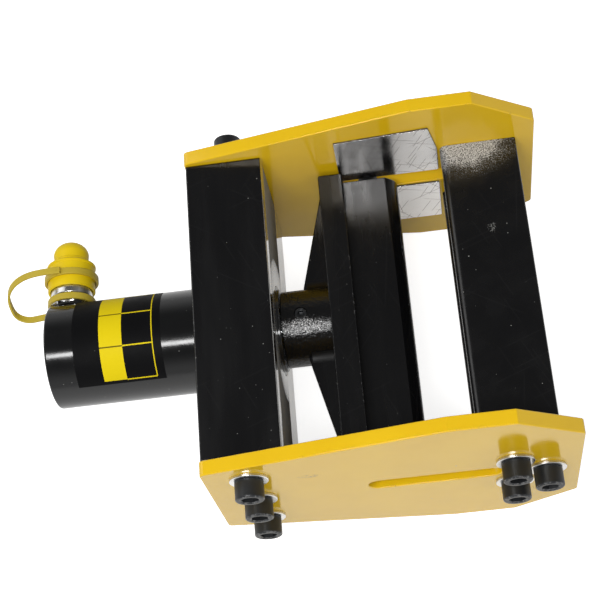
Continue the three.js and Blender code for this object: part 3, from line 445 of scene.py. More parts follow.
def spun(
    corners: Points,
    radii: float | Numbers,
    axis: Axis,
    closed: bool = False,
    segments: int = 96,
    guard: float = 0.2,
) -> Shell:
    """A surface of revolution from a profile's corners, each rounded."""
    profile, wear = rounded(corners, radii, steps=4, guard=guard, closed=closed)
    return turned(profile, wear, axis, closed, segments)


def faceted(stations: Points, axis: Axis) -> Shell:
    """A surface round an axis whose sections pass between circles and hexagons.

    With f the angle folded to within 30 degrees of a flat's middle, a section's radius is
    (1 - share) times its circle's radius plus share times the smaller of that radius and
    apothem / cos f.

    Args:
        stations: Rows of place, circle radius and wear, then of hexagon apothem and hexagon
            share where the section isn't a circle.
        axis: The axis along which the stations lie.

    Returns:
        The closed surface. Its first and last stations close on the axis.
    """
    rows = np.array([(*row, 1.0, 0.0)[:5] for row in stations])
    place, radius, wear, apothem, share = (column[:, None] for column in rows.T)
    segments = 96
    angle = (np.arange(segments) * 2 * np.pi / segments)[None, :]
    fold = (angle % (np.pi / 3)) - np.pi / 6
    hexagon = np.minimum(apothem / np.cos(fold), radius)
    reach = (1 - share) * radius + share * hexagon
    grid = np.stack(
        [reach * np.cos(angle), reach * np.sin(angle), np.broadcast_to(place, reach.shape)], axis=-1
    )
    points = axis.spread(grid).reshape(-1, 3)
    worn = np.broadcast_to(wear, reach.shape).reshape(-1)
    return Shell(points, [quads(len(place), segments)], worn).welded().outward()


def smooth_path(points: Points, count: int) -> Array:
    """A natural cubic spline through points, its parameter the chord length.

    The second slopes solve the usual three-term equations, with none at the two ends. The
    samples lie evenly along the curve's length.

    Args:
        points: The points.
        count: The number of samples.

    Returns:
        The samples.
    """
    knots = np.asarray(points, float)
    along = np.r_[0, np.cumsum(np.linalg.norm(np.diff(knots, axis=0), axis=1))]
    gap = np.diff(along)
    size = len(knots)
    matrix, right = np.eye(size), np.zeros((size, 3))
    inner = np.arange(1, size - 1)
    matrix[inner, inner - 1], matrix[inner, inner + 1] = gap[:-1], gap[1:]
    matrix[inner, inner] = 2 * (gap[:-1] + gap[1:])
    slope = np.diff(knots, axis=0) / gap[:, None]
    right[1:-1] = 6 * (slope[1:] - slope[:-1])
    bend = np.linalg.solve(matrix, right)
    place = np.linspace(0, along[-1], 40 * size)
    span = np.clip(np.searchsorted(along, place, side="right") - 1, 0, size - 2)
    step, width = (place - along[span])[:, None], gap[span][:, None]
    rest = width - step
    curve = (bend[span] * rest**3 + bend[span + 1] * step**3) / (6 * width)
    line_start = (knots[span] / width - bend[span] * width / 6) * rest
    line_end = (knots[span + 1] / width - bend[span + 1] * width / 6) * step
    fine = curve + line_start + line_end
    length = np.r_[0, np.cumsum(np.linalg.norm(np.diff(fine, axis=0), axis=1))]
    wanted = np.linspace(0, length[-1], count)
    return np.stack([np.interp(wanted, length, fine[:, k]) for k in range(3)], axis=1)


def band(path: Array, section: Array, wear: Array) -> Shell:
    """A flat band along a path, closed at both ends.

    A point of the section (out, up) lies at the path's point plus out times the direction that
    is square to both the path and the band's width, plus up times the width's direction, which
    is the Y axis less its share along the path.

    Args:
        path: The path's points.
        section: The section's points.
        wear: The wear of each point of the section.

    Returns:
        The closed surface.
    """
    ahead = np.gradient(path, axis=0)
    ahead /= np.linalg.norm(ahead, axis=1, keepdims=True)
    across = np.array([0.0, 1.0, 0.0]) - ahead * ahead[:, 1:2]
    across /= np.linalg.norm(across, axis=1, keepdims=True)
    out = np.cross(ahead, across)
    wide = section[None, :, :1] * out[:, None] + section[None, :, 1:] * across[:, None]
    grid = path[:, None] + wide
    ends = np.repeat(path[[0, -1]][:, None], len(section), axis=1)
    grid = np.concatenate([ends[:1], grid, ends[1:]])
    worn = np.tile(wear, len(grid))
    faces = [quads(len(grid), len(section))]
    return Shell(grid.reshape(-1, 3), faces, worn).welded().outward()


def ripple(points: Array, wavelength: float, seed: int) -> Array:
    """Smooth noise from -1 to 1: the mean of sine waves in many fixed random directions.

    Each wave's value at a point is the sine of the point's dot product with the wave's vector,
    plus its phase.

    Args:
        points: The points.
        wavelength: The waves' mean length in millimetres.
        seed: The number that fixes their directions and phases.

    Returns:
        The value at each point.
    """
    random = np.random.default_rng(seed)
    waves = random.normal(size=(3, 48))
    waves *= 2 * np.pi / wavelength * random.uniform(0.6, 1.7, 48) / np.linalg.norm(waves, axis=0)
    phase = random.uniform(0, 2 * np.pi, 48)
    return np.sin(points @ waves + phase).mean(axis=1) * 5


# Shader nodes


class Graph:
    """Adds nodes and links to a material's or a group's tree, and keeps a group's inputs."""

    def __init__(self, tree: NodeTree) -> None:
        """Starts with an empty tree.

        Args:
            tree: The tree.
        """
        tree.nodes.clear()
        self.tree = tree
        self.given: dict[str, Socket] = {}

    @cached_property
    def where(self) -> Socket:
        """The patterns' coordinates: the object's own, or those given to the group."""
        return self.given.get("Vector") or self.node("ShaderNodeTexCoord").outputs["Object"]

    def node(self, kind: str, inputs: dict | None = None, **settings: object) -> Node:
        """Adds a node.

        Args:
            kind: The node's type.
            inputs: Socket name or number to a value or to the socket that feeds it.
            **settings: Properties of the node.

        Returns:
            The node.
        """
        made = self.tree.nodes.new(kind)
        for name, value in settings.items():
            setattr(made, name, value)
        for name, value in (inputs or {}).items():
            self.feed(made.inputs[name], value)
        return made

    def feed(self, target: Socket, value: Value) -> None:
        """Links a socket to the target, or writes a value on it.

        Args:
            target: The input.
            value: The socket that feeds it, or its value.
        """
        if isinstance(value, Socket):
            self.tree.links.new(value, target)
        elif isinstance(target.default_value, (int, float)):
            target.default_value = value
        else:
            size = len(target.default_value)
            target.default_value = (*value, 1.0) if size == len(value) + 1 else value

    def math(self, operation: str, *values: Value) -> Socket:
        """A Math node's result."""
        return self.node("ShaderNodeMath", dict(enumerate(values)), operation=operation).outputs[0]

    def times(self, *values: Value) -> Socket:
        """The product of several values."""
        return reduce(lambda total, value: self.math("MULTIPLY", total, value), values)

    def most(self, *values: Value) -> Socket:
        """The largest of several values."""
        return reduce(lambda total, value: self.math("MAXIMUM", total, value), values)

    def less(self, first: Value, second: Value) -> Socket:
        """The first value less the second."""
        return self.math("SUBTRACT", first, second)

    def ramp(self, value: Value, low: float, high: float, start: float = 0, end: float = 1) -> Socket:
        """A value that rises smoothly from start to end as the input goes from low to high."""
        inputs = {"Value": value, "From Min": low, "From Max": high, "To Min": start, "To Max": end}
        return self.node("ShaderNodeMapRange", inputs, interpolation_type="SMOOTHSTEP").outputs[0]

    def mixed(self, share: Value, first: Value, second: Value) -> Socket:
        """Two colours mixed by a share."""
        inputs = {0: share, 6: first, 7: second}
        return self.node("ShaderNodeMix", inputs, data_type="RGBA").outputs[2]

    def noise(
        self, scale: Value, detail: float = 3, rough: float = 0.5, vector: Socket | None = None
    ) -> Socket:
        """A Noise Texture's value."""
        inputs = {"Vector": vector or self.where, "Scale": scale, "Detail": detail, "Roughness": rough}
        return self.node("ShaderNodeTexNoise", inputs).outputs[0]

    def parts(self, vector: Socket) -> Sequence[Socket]:
        """A vector's three parts."""
        return self.node("ShaderNodeSeparateXYZ", {0: vector}).outputs

    def mapped(
        self, scale: Numbers = (1, 1, 1), turn: Numbers = (0, 0, 0), vector: Socket | None = None
    ) -> Socket:
        """Coordinates turned by angles in degrees, then scaled.

        Args:
            scale: The scale along each axis.
            turn: The angle about each axis.
            vector: Other coordinates.

        Returns:
            The new coordinates.
        """
        angles = tuple(math.radians(angle) for angle in turn)
        inputs = {"Vector": vector or self.where, "Rotation": angles}
        inputs = {"Vector": self.node("ShaderNodeMapping", inputs).outputs[0], "Scale": scale}
        return self.node("ShaderNodeMapping", inputs).outputs[0]

    def away(self, place: Numbers, size: Numbers) -> Socket:
        """Distance from a place of the tool's frame, as a share of a size along each axis.

        Args:
            place: The place.
            size: The size along each axis.

        Returns:
            The distance.
        """
        inputs = {0: self.where, 1: tuple(Drawing.place(place))}
        moved = self.node("ShaderNodeVectorMath", inputs, operation="SUBTRACT").outputs[0]
        scaled = self.mapped(tuple(1 / (reach * MM) for reach in size), vector=moved)
        return self.node("ShaderNodeVectorMath", {0: scaled}, operation="LENGTH").outputs["Value"]

    def principled(self, colour: Value, rough: Value, gloss: float) -> Node:
        """A Principled shader, linked to the material's output.

        Args:
            colour: Its base colour.
            rough: Its roughness.
            gloss: Its specular level.

        Returns:
            The shader.
        """
        shader = self.node("ShaderNodeBsdfPrincipled", {"Base Color": colour, "Roughness": rough})
        shader.inputs["Specular IOR Level"].default_value = gloss
        self.surface(shader)
        return shader

    def surface(self, shader: Node, kind: str = "Material") -> None:
        """Links a shader to a new output of a material or world."""
        self.feed(self.node(f"ShaderNodeOutput{kind}").inputs["Surface"], shader.outputs[0])


def new_material(name: str) -> tuple[Material, Graph]:
    """A new material and the graph of its nodes.

    Args:
        name: The material's name.

    Returns:
        The material and the graph.
    """
    made = bpy.data.materials.new(name)
    made.use_nodes = True
    return made, Graph(made.node_tree)


class Effects:
    """Shader groups that several finishes share, each built once."""

    def __init__(self) -> None:
        """Builds the groups: each takes coordinates and a few numbers, and gives one value."""
        self.groups = {}
        for name, build, inputs in (
            ("edge_wear", self._edge_wear, ("Scale", "Amount")),
            ("scratches", self._scratches, ("Scale", "Share")),
            ("specks", self._specks, ("Scale", "Share", "Size")),
            ("grain", self._grain, ("Scale",)),
        ):
            tree = bpy.data.node_groups.new(name, "ShaderNodeTree")
            graph = Graph(tree)
            add = tree.interface.new_socket
            add("Vector", in_out="INPUT", socket_type="NodeSocketVector")
            for label in inputs:
                add(label, in_out="INPUT", socket_type="NodeSocketFloat")
            add("Value", in_out="OUTPUT", socket_type="NodeSocketFloat")
            graph.given.update(graph.node("NodeGroupInput").outputs.items())
            graph.feed(graph.node("NodeGroupOutput").inputs["Value"], build(graph))
            self.groups[name] = tree

    def _edge_wear(self, graph: Graph) -> Socket:
        """Worn spots on edges: the edge attribute times noise, cut off at a level.

        Args:
            graph: The group's graph.

        Returns:
            The mask.
        """
        edge = graph.node("ShaderNodeAttribute", attribute_name="edge").outputs["Fac"]
        patch = graph.noise(graph.given["Scale"], 4, 0.65)
        over = graph.less(graph.times(patch, edge), graph.less(1.0, graph.given["Amount"]))
        return graph.ramp(over, -0.04, 0.1)

    def _scratches(self, graph: Graph) -> Socket:
        """Straight scratches in the XY plane of the coordinates.

        Each set turns the coordinates about Z and splits them into columns, and each column into
        lengths. A few lengths, picked by chance, hold one thin line that slants by chance.

        Args:
            graph: The group's graph.

        Returns:
            The mask.
        """
        sets = []
        for turn, finer in ((9, 1.0), (38, 1.5), (-57, 1.2), (71, 2.2), (-24, 2.9)):
            place = graph.parts(graph.mapped(turn=(0, 0, turn)))
            scale = graph.times(graph.given["Scale"], finer)
            across = graph.times(place[0], scale)
            column = graph.math("FLOOR", across)
            shift = graph.node("ShaderNodeTexWhiteNoise", {"W": column}, noise_dimensions="1D")
            start = graph.times(shift.outputs[0], 9.0)
            along = graph.math("ADD", graph.times(place[1], scale, 0.12), start)
            cell = graph.node("ShaderNodeCombineXYZ", {0: column, 1: graph.math("FLOOR", along)})
            inputs = {"Vector": cell.outputs[0]}
            luck = graph.node("ShaderNodeTexWhiteNoise", inputs, noise_dimensions="2D").outputs[0]
            run = graph.less(graph.math("FRACT", along), 0.5)
            slant = graph.times(graph.less(luck, 0.17), 1.9)
            middle = graph.math("MULTIPLY_ADD", run, slant, 0.5)
            away = graph.less(graph.math("FRACT", across), middle)
            line = graph.ramp(graph.math("ABSOLUTE", away), 0.05 * finer, 0.02)
            ends = graph.ramp(graph.math("ABSOLUTE", run), 0.5, 0.3)
            sets.append(graph.times(line, ends, graph.math("LESS_THAN", luck, graph.given["Share"])))
        return graph.most(*sets)

    def _specks(self, graph: Graph) -> Socket:
        """Dust: dots of many sizes in a few cells of a Voronoi pattern, thicker in places.

        Args:
            graph: The group's graph.

        Returns:
            The mask.
        """
        inputs = {"Vector": graph.where, "Scale": graph.given["Scale"]}
        cells = graph.node("ShaderNodeTexVoronoi", inputs).outputs
        luck = graph.node("ShaderNodeSeparateColor", {0: cells["Color"]}).outputs
        thick = graph.ramp(graph.noise(17.0, 2), 0.35, 0.7, 0.3, 2.4)
        chosen = graph.math("LESS_THAN", luck[0], graph.times(graph.given["Share"], thick))
        size = graph.math("ADD", graph.times(graph.given["Size"], luck[1]), 0.015)
        near = graph.math("DIVIDE", cells["Distance"], size)
        dot = graph.times(graph.ramp(near, 1.0, 0.4), graph.ramp(luck[2], -0.3, 1))
        return graph.times(chosen, dot)

    def _grain(self, graph: Graph) -> Socket:
        """Rough skin: coarse noise with finer noise over it.

        Args:
            graph: The group's graph.

        Returns:
            The height.
        """
        coarse = graph.noise(graph.given["Scale"], 3, 0.6)
        fine = graph.noise(graph.times(graph.given["Scale"], 3.3), 2)
        return graph.math("ADD", coarse, graph.times(fine, 0.4))

    def put(
        self, graph: Graph, name: str, vector: Socket | None = None, **values: float
    ) -> Socket:
        """Places a group in a material.

        Args:
            graph: The material's graph.
            name: The group's name.
            vector: Other coordinates for its pattern.
            **values: Its inputs, in lower case.

        Returns:
            Its output.
        """
        node = graph.node("ShaderNodeGroup", node_tree=self.groups[name])
        graph.feed(node.inputs["Vector"], vector or graph.where)
        for label, value in values.items():
            node.inputs[label.capitalize()].default_value = value
        return node.outputs[0]


@dataclass(frozen=True)
class Mark:
    """A rub mark: its middle and reach in the tool's frame, and its colour."""

    place: Triple
    reach: Triple
    colour: Colour

    def over(self, graph: Graph, colour: Socket) -> Socket:
        """Mixes the mark over a colour."""
        return graph.mixed(self.mask(graph), colour, self.colour)

    def mask(self, graph: Graph) -> Socket:
        """A soft noisy spot."""
        spot = graph.times(graph.ramp(graph.away(self.place, self.reach), 1.0, 0.3), 0.55)
        return graph.times(spot, graph.ramp(graph.noise(420.0, 4, 0.7), 0.42, 0.62))


@dataclass(frozen=True)
class Patch(Mark):
    """A broken patch of painted glints, light flecks that stand in for a lamp's sparkle: also the
    flecks' scale, and the noise where they start and end.
    """

    scale: float
    low: float
    high: float

    def mask(self, graph: Graph) -> Socket:
        """Painted glint flecks, fewer towards a ragged rim.

        Args:
            graph: The material's graph.

        Returns:
            The mask.
        """
        away = graph.away(self.place, self.reach)
        broken = graph.times(graph.noise(60.0, 3, 0.6), 0.9)
        spot = graph.ramp(graph.math("ADD", away, broken), 1.5, 0.8)
        glint_flecks = graph.noise(self.scale, 3, 0.65)
        level = graph.less(graph.math("MULTIPLY_ADD", spot, 0.22, glint_flecks), 0.22)
        return graph.times(graph.ramp(level, self.low, self.high), spot)


@dataclass(frozen=True)
class Finish:
    """A surface of one colour with a second one where it is worn, specked or marked, and with painted
    glints or painted shade where a finish has them.

    colour and shade are mixed by broad noise. worn shows on edges and in scratches, and dust on
    specks. A relief of 0 leaves the surface smooth.
    """

    name: str
    colour: Colour
    shade: Colour
    worn: Colour = (0.3,) * 3
    dust: Colour = (0.5, 0.5, 0.48)
    metallic: float = 0.0
    roughness: Pair = (0.3, 0.4)
    gloss: float = 0.5
    streaks: Triple = (1.0,) * 3
    mottle: float = 25.0
    edge_amount: float = 0.0
    edge_scale: float = 400.0
    scratch_amount: float = 0.0
    scratch_scale: float = 60.0
    scratch_share: float = 0.35
    scratch_turn: Triple = (0.0,) * 3
    speck_share: float = 0.0
    speck_scale: float = 260.0
    speck_size: float = 0.15
    relief: float = 0.0
    relief_scale: float = 500.0
    relief_stretch: Triple = (1.0,) * 3
    # Rub marks, and patches of painted glints that stand in for a lamp's sparkle
    marks: tuple[Mark, ...] = ()

    def material(self, effects: Effects) -> Material:
        """Builds the material.

        Args:
            effects: The shared shader groups.

        Returns:
            The material.
        """
        made, graph = new_material(self.name)
        broad = graph.noise(self.mottle, 4, 0.55)
        colour = graph.mixed(graph.ramp(broad, 0.3, 0.7), self.colour, self.shade)
        masks = []
        if self.edge_amount:
            masks.append(effects.put(graph, "edge_wear", scale=self.edge_scale,
                                     amount=self.edge_amount))
        if self.scratch_amount:
            lines = effects.put(graph, "scratches", graph.mapped(turn=self.scratch_turn),
                                scale=self.scratch_scale, share=self.scratch_share)
            masks.append(graph.times(lines, self.scratch_amount))
        if masks:
            colour = graph.mixed(graph.most(*masks), colour, self.worn)
        if self.speck_share:
            specks = effects.put(graph, "specks", scale=self.speck_scale,
                                 share=self.speck_share, size=self.speck_size)
            colour = graph.mixed(specks, colour, self.dust)
        colour = self.marked(graph, colour)
        streaked = graph.noise(self.mottle * 3.1, vector=graph.mapped(self.streaks))
        shader = graph.principled(colour, graph.ramp(streaked, 0.3, 0.7, *self.roughness), self.gloss)
        shader.inputs["Metallic"].default_value = self.metallic
        self.tuned(graph, shader)
        if self.relief:
            pattern = graph.mapped(self.relief_stretch)
            height = effects.put(graph, "grain", pattern, scale=self.relief_scale)
            inputs = {"Height": height, "Strength": 1.0, "Distance": self.relief * MM}
            graph.feed(shader.inputs["Normal"], graph.node("ShaderNodeBump", inputs).outputs[0])
        return made

    def marked(self, graph: Graph, colour: Socket) -> Socket:
        """Mixes the finish's marks over its colour: rub marks, and painted glints where it has them.
        """
        return reduce(lambda under, mark: mark.over(graph, under), self.marks, colour)

    def tuned(self, graph: Graph, shader: Node) -> None:
        """A place for changes to the shader. A plain finish has none."""


@dataclass(frozen=True)
class FilmedSteel(Finish):
    """Ground steel with painted shade: a dull dark band between two heights stands in for the
    reflection of the shadowed floor under the ram, and is left off round the ram.
    """

    # The painted shade band: its low and high edges and their softness in millimetres, the radius
    # round the ram where it stops, and its colour
    film_low: float = -15.0
    film_high: float = 43.0
    film_soft: float = 4.0
    wiped_radius: float = 32.0
    film_colour: Colour = (0.36, 0.36, 0.355)

    def film(self, graph: Graph) -> Socket:
        """The painted shade band's mask, its edges slightly wavy.

        Args:
            graph: The material's graph.

        Returns:
            The mask.
        """
        wavy = graph.math("MULTIPLY_ADD", graph.noise(35.0, 2), 6 * MM, graph.parts(graph.where)[2])
        low, high = (Drawing.level + level * MM for level in (self.film_low, self.film_high))
        soft, far, unpainted_reach = self.film_soft * MM, 1e6, self.wiped_radius
        away = graph.away((0, 0, 0), (far, unpainted_reach, unpainted_reach))
        return graph.times(graph.ramp(wavy, low, low + soft), graph.ramp(wavy, high + soft, high),
                           graph.ramp(away, 0.85, 1.5))

    def marked(self, graph: Graph, colour: Socket) -> Socket:
        """Mixes the painted shade band over the colour."""
        return graph.mixed(self.film(graph), colour, self.film_colour)

    def tuned(self, graph: Graph, shader: Node) -> None:
        """Takes the metal's reflection away under the painted shade band.

        Args:
            graph: The material's graph.
            shader: The Principled shader.
        """
        mirror_share = graph.less(1.0, self.film(graph))
        graph.feed(shader.inputs["Metallic"], mirror_share)
        graph.feed(shader.inputs["Specular IOR Level"], graph.times(mirror_share, self.gloss))


@dataclass(frozen=True)
class PrintedLabel:
    """A plain black sticker with a yellow column and thin yellow lines between empty cells."""

    name: str = "printed_label"
    field_colour: Colour = (0.0035, 0.0035, 0.004)
    print_colour: Colour = (0.80, 0.62, 0.006)
    dust: Colour = (0.3, 0.3, 0.28)
    gloss: float = 0.08
    column: Pair = (0.303, 0.562)
    column_end: float = 0.902
    rows: tuple[float, ...] = (0.035, 0.345, 0.655, 0.965)
    line: float = 0.012

    def material(self, effects: Effects) -> Material:
        """Builds the material from the piece's UV map.

        Args:
            effects: The shared shader groups.

        Returns:
            The material.
        """
        made, graph = new_material(self.name)
        along, around, _ = graph.parts(graph.node("ShaderNodeUVMap", uv_map="label").outputs[0])
        in_rows = self._between(graph, around, self.rows[0], self.rows[-1])
        column = self._between(graph, along, *self.column)
        table = self._between(graph, along, self.column[0], self.column_end)
        rows = [self._stripe(graph, around, place) for place in self.rows]
        right = graph.times(self._stripe(graph, along, self.column_end), in_rows)
        drawn = graph.most(graph.times(graph.most(*rows), table), right)
        cut = graph.less(1.0, graph.times(graph.most(*rows[1:-1]), 0.8))
        beside = graph.times(drawn, graph.less(1.0, column))
        yellow = graph.most(graph.times(column, in_rows, cut), beside)
        colour = graph.mixed(yellow, self.field_colour, self.print_colour)
        specks = effects.put(graph, "specks", scale=330.0, share=0.06, size=0.1)
        colour = graph.mixed(graph.times(specks, 0.5), colour, self.dust)
        rough = graph.ramp(graph.noise(90.0), 0.3, 0.7, 0.5, 0.6)
        graph.principled(colour, rough, self.gloss)
        return made

    def _between(self, graph: Graph, value: Socket, low: float, high: float) -> Socket:
        """1 where the value lies between two limits."""
        over = graph.math("GREATER_THAN", value, low)
        return graph.times(over, graph.math("LESS_THAN", value, high))

    def _stripe(self, graph: Graph, value: Socket, centre: float) -> Socket:
        """1 where the value lies within half a line of a place."""
        return self._between(graph, value, centre - self.line / 2, centre + self.line / 2)


class Palette:
    """The finishes of this tool."""

    yellow = Finish(
        "yellow_enamel", (0.86, 0.545, 0.010), (0.82, 0.51, 0.009), worn=(0.35, 0.20, 0.03),
        dust=(0.62, 0.46, 0.10), roughness=(0.08, 0.13), edge_amount=0.36, edge_scale=260.0,
        speck_share=0.02, speck_scale=170.0, relief=0.008, relief_scale=260.0,
    )
    near_yellow = replace(
        yellow, name="yellow_enamel_rubbed",
        marks=(Mark((64.0, -112.0, 32.0), (9.0, 9.0, 4.0), (0.16, 0.11, 0.03)),),
    )
    black = Finish(
        "black_enamel", (0.0045, 0.0045, 0.005), (0.0035, 0.0035, 0.004),
        worn=(0.06,) * 3, dust=(0.32, 0.32, 0.30), roughness=(0.17, 0.33),
        streaks=(1.0, 0.12, 1.0), edge_amount=0.42, edge_scale=420.0, scratch_amount=0.07,
        scratch_scale=120.0, scratch_share=0.07, speck_share=0.24, speck_scale=300.0,
        relief=0.03, relief_scale=420.0,
    )
    die_black = replace(
        black, name="black_enamel_grained", roughness=(0.18, 0.30), streaks=(1.0,) * 3,
        relief=0.04,
        # Painted glints: light flecks on the die's far top corner and a small cluster on its top stand
        # in for a lamp's sparkle
        marks=(
            Patch((183.0, 105.0, 37.0), (40.0, 30.0, 30.0), (0.62,) * 3, 1250.0, 0.35, 0.60),
            Patch((195.0, 39.0, 37.0), (5.0, 6.0, 9.0), (0.22, 0.22, 0.21), 1100.0, 0.52, 0.62),
        ),
    )
    cut_edge = Finish(
        "sheared_edge", (0.10, 0.085, 0.07), (0.07, 0.06, 0.05), metallic=0.6,
        roughness=(0.4, 0.5),
    )
    barrel_black = Finish(
        "barrel_enamel", (0.0060, 0.0062, 0.0066), (0.0048, 0.0050, 0.0053),
        dust=(0.34, 0.34, 0.32), roughness=(0.12, 0.17), speck_share=0.2, speck_scale=330.0,
        relief=0.02, relief_scale=500.0,
    )
    cast = Finish(
        "cast_black", (0.006, 0.006, 0.0063), (0.004, 0.004, 0.0043), worn=(0.04,) * 3,
        roughness=(0.10, 0.16), edge_amount=0.3, gloss=0.45, relief=0.22, relief_scale=620.0,
        # Painted highlight: light flecks along the boss where the key lamp's sparkle falls
        marks=(
            Patch((68.0, -8.8, 23.8), (30.0, 8.5, 8.5), (0.72,) * 3, 1150.0, 0.44, 0.68),
        ),
    )
    dull_cast = replace(
        cast, name="cast_black_dull", roughness=(0.42, 0.55), edge_amount=0.0, gloss=0.3,
        relief=0.1, marks=(),
    )
    gland_black = Finish(
        "oiled_oxide", (0.020, 0.021, 0.023), (0.014, 0.015, 0.016), worn=(0.17,) * 3,
        metallic=0.2, roughness=(0.13, 0.2), edge_amount=0.4, edge_scale=500.0, gloss=0.8,
        relief=0.006, relief_scale=900.0,
    )
    oxide = Finish(
        "black_oxide", (0.045, 0.047, 0.050), (0.032, 0.034, 0.037), worn=(0.17,) * 3,
        metallic=0.7, roughness=(0.38, 0.5), edge_amount=0.5, edge_scale=500.0,
        relief=0.008, relief_scale=900.0,
    )
    zinc = Finish(
        "zinc_plate", (0.74, 0.74, 0.73), (0.64, 0.64, 0.63), worn=(0.5,) * 3, metallic=1.0,
        roughness=(0.2, 0.34), scratch_amount=0.3, scratch_scale=400.0,
        scratch_turn=(90.0, 0.0, 0.0), relief=0.006, relief_scale=700.0,
    )
    ground = Finish(
        "ground_steel", (0.60, 0.585, 0.565), (0.53, 0.515, 0.50), worn=(0.28, 0.27, 0.26),
        metallic=1.0, roughness=(0.12, 0.2), scratch_amount=0.3, scratch_scale=200.0,
        relief=0.004, relief_scale=240.0, relief_stretch=(14.0, 1.0, 14.0),
    )
    # The rear block's front face: ground steel with a band of painted shade
    ground_face = FilmedSteel(
        "ground_face_steel", (0.66, 0.65, 0.63), (0.60, 0.59, 0.57), worn=(0.28, 0.27, 0.26),
        metallic=1.0, roughness=(0.05, 0.11), scratch_amount=0.4, scratch_scale=170.0,
        scratch_turn=(0.0, 90.0, 0.0), relief=0.004, relief_scale=240.0,
        relief_stretch=(14.0, 1.0, 14.0),
    )
    worn_steel = Finish(
        "scratched_steel", (0.88, 0.865, 0.85), (0.80, 0.785, 0.77), worn=(0.20, 0.16, 0.14),
        metallic=1.0, roughness=(0.16, 0.25), scratch_amount=0.7, scratch_scale=150.0,
        scratch_share=0.28, scratch_turn=(90.0, 0.0, 0.0), speck_share=0.05,
        dust=(0.25, 0.20, 0.15), relief=0.004, relief_scale=160.0,
    )
    chrome = Finish(
        "hard_chrome", (0.78, 0.79, 0.80), (0.74, 0.75, 0.76), metallic=1.0,
        roughness=(0.05, 0.09), worn=(0.55,) * 3, scratch_amount=0.12,
        relief=0.002, relief_scale=300.0,
    )
    spring = Finish(
        "spring_wire", (0.20, 0.205, 0.21), (0.14, 0.145, 0.15), metallic=1.0,
        roughness=(0.3, 0.42), relief=0.01, relief_scale=600.0,
    )
    bronze = Finish(
        "bearing_bronze", (0.52, 0.33, 0.12), (0.45, 0.28, 0.10), metallic=1.0,
        roughness=(0.25, 0.36), relief=0.006, relief_scale=700.0,
    )
    rubber = Finish(
        "seal_rubber", (0.012,) * 3, (0.018, 0.018, 0.017), roughness=(0.55, 0.7),
        dust=(0.12, 0.12, 0.11), speck_share=0.08, relief=0.012, relief_scale=800.0,
    )
    polymer = Finish(
        "seal_polymer", (0.03, 0.10, 0.22), (0.025, 0.085, 0.19), roughness=(0.4, 0.5),
        relief=0.005, relief_scale=700.0,
    )
    plastic = Finish(
        "cap_plastic", (0.90, 0.655, 0.005), (0.84, 0.60, 0.005), worn=(0.45, 0.30, 0.02),
        dust=(0.55, 0.42, 0.12), roughness=(0.4, 0.5), gloss=0.25, speck_share=0.05,
        speck_scale=260.0, relief=0.014, relief_scale=380.0, edge_amount=0.34,
    )
    strap_plastic = Finish(
        "tether_plastic", (0.60, 0.46, 0.045), (0.52, 0.39, 0.035), worn=(0.36, 0.24, 0.02),
        roughness=(0.4, 0.52), gloss=0.3, relief=0.012, relief_scale=420.0, edge_amount=0.4,
    )
    label = PrintedLabel()


# Pieces


def new_mesh(name: str, shell: Shell) -> Mesh:
    """A mesh of a surface, placed in the row frame.

    Args:
        name: The mesh's name.
        shell: The surface.

    Returns:
        The mesh.
    """
    mesh = bpy.data.meshes.new(name)
    faces = [face for group in shell.faces for face in group.tolist()]
    mesh.from_pydata(Drawing.place(shell.points).tolist(), [], faces)
    return mesh


def linked(name: str, data: ID) -> Object:
    """A new object in the scene.

    Args:
        name: The object's name.
        data: Its data.

    Returns:
        The object.
    """
    made = bpy.data.objects.new(name, data)
    bpy.context.scene.collection.objects.link(made)
    return made


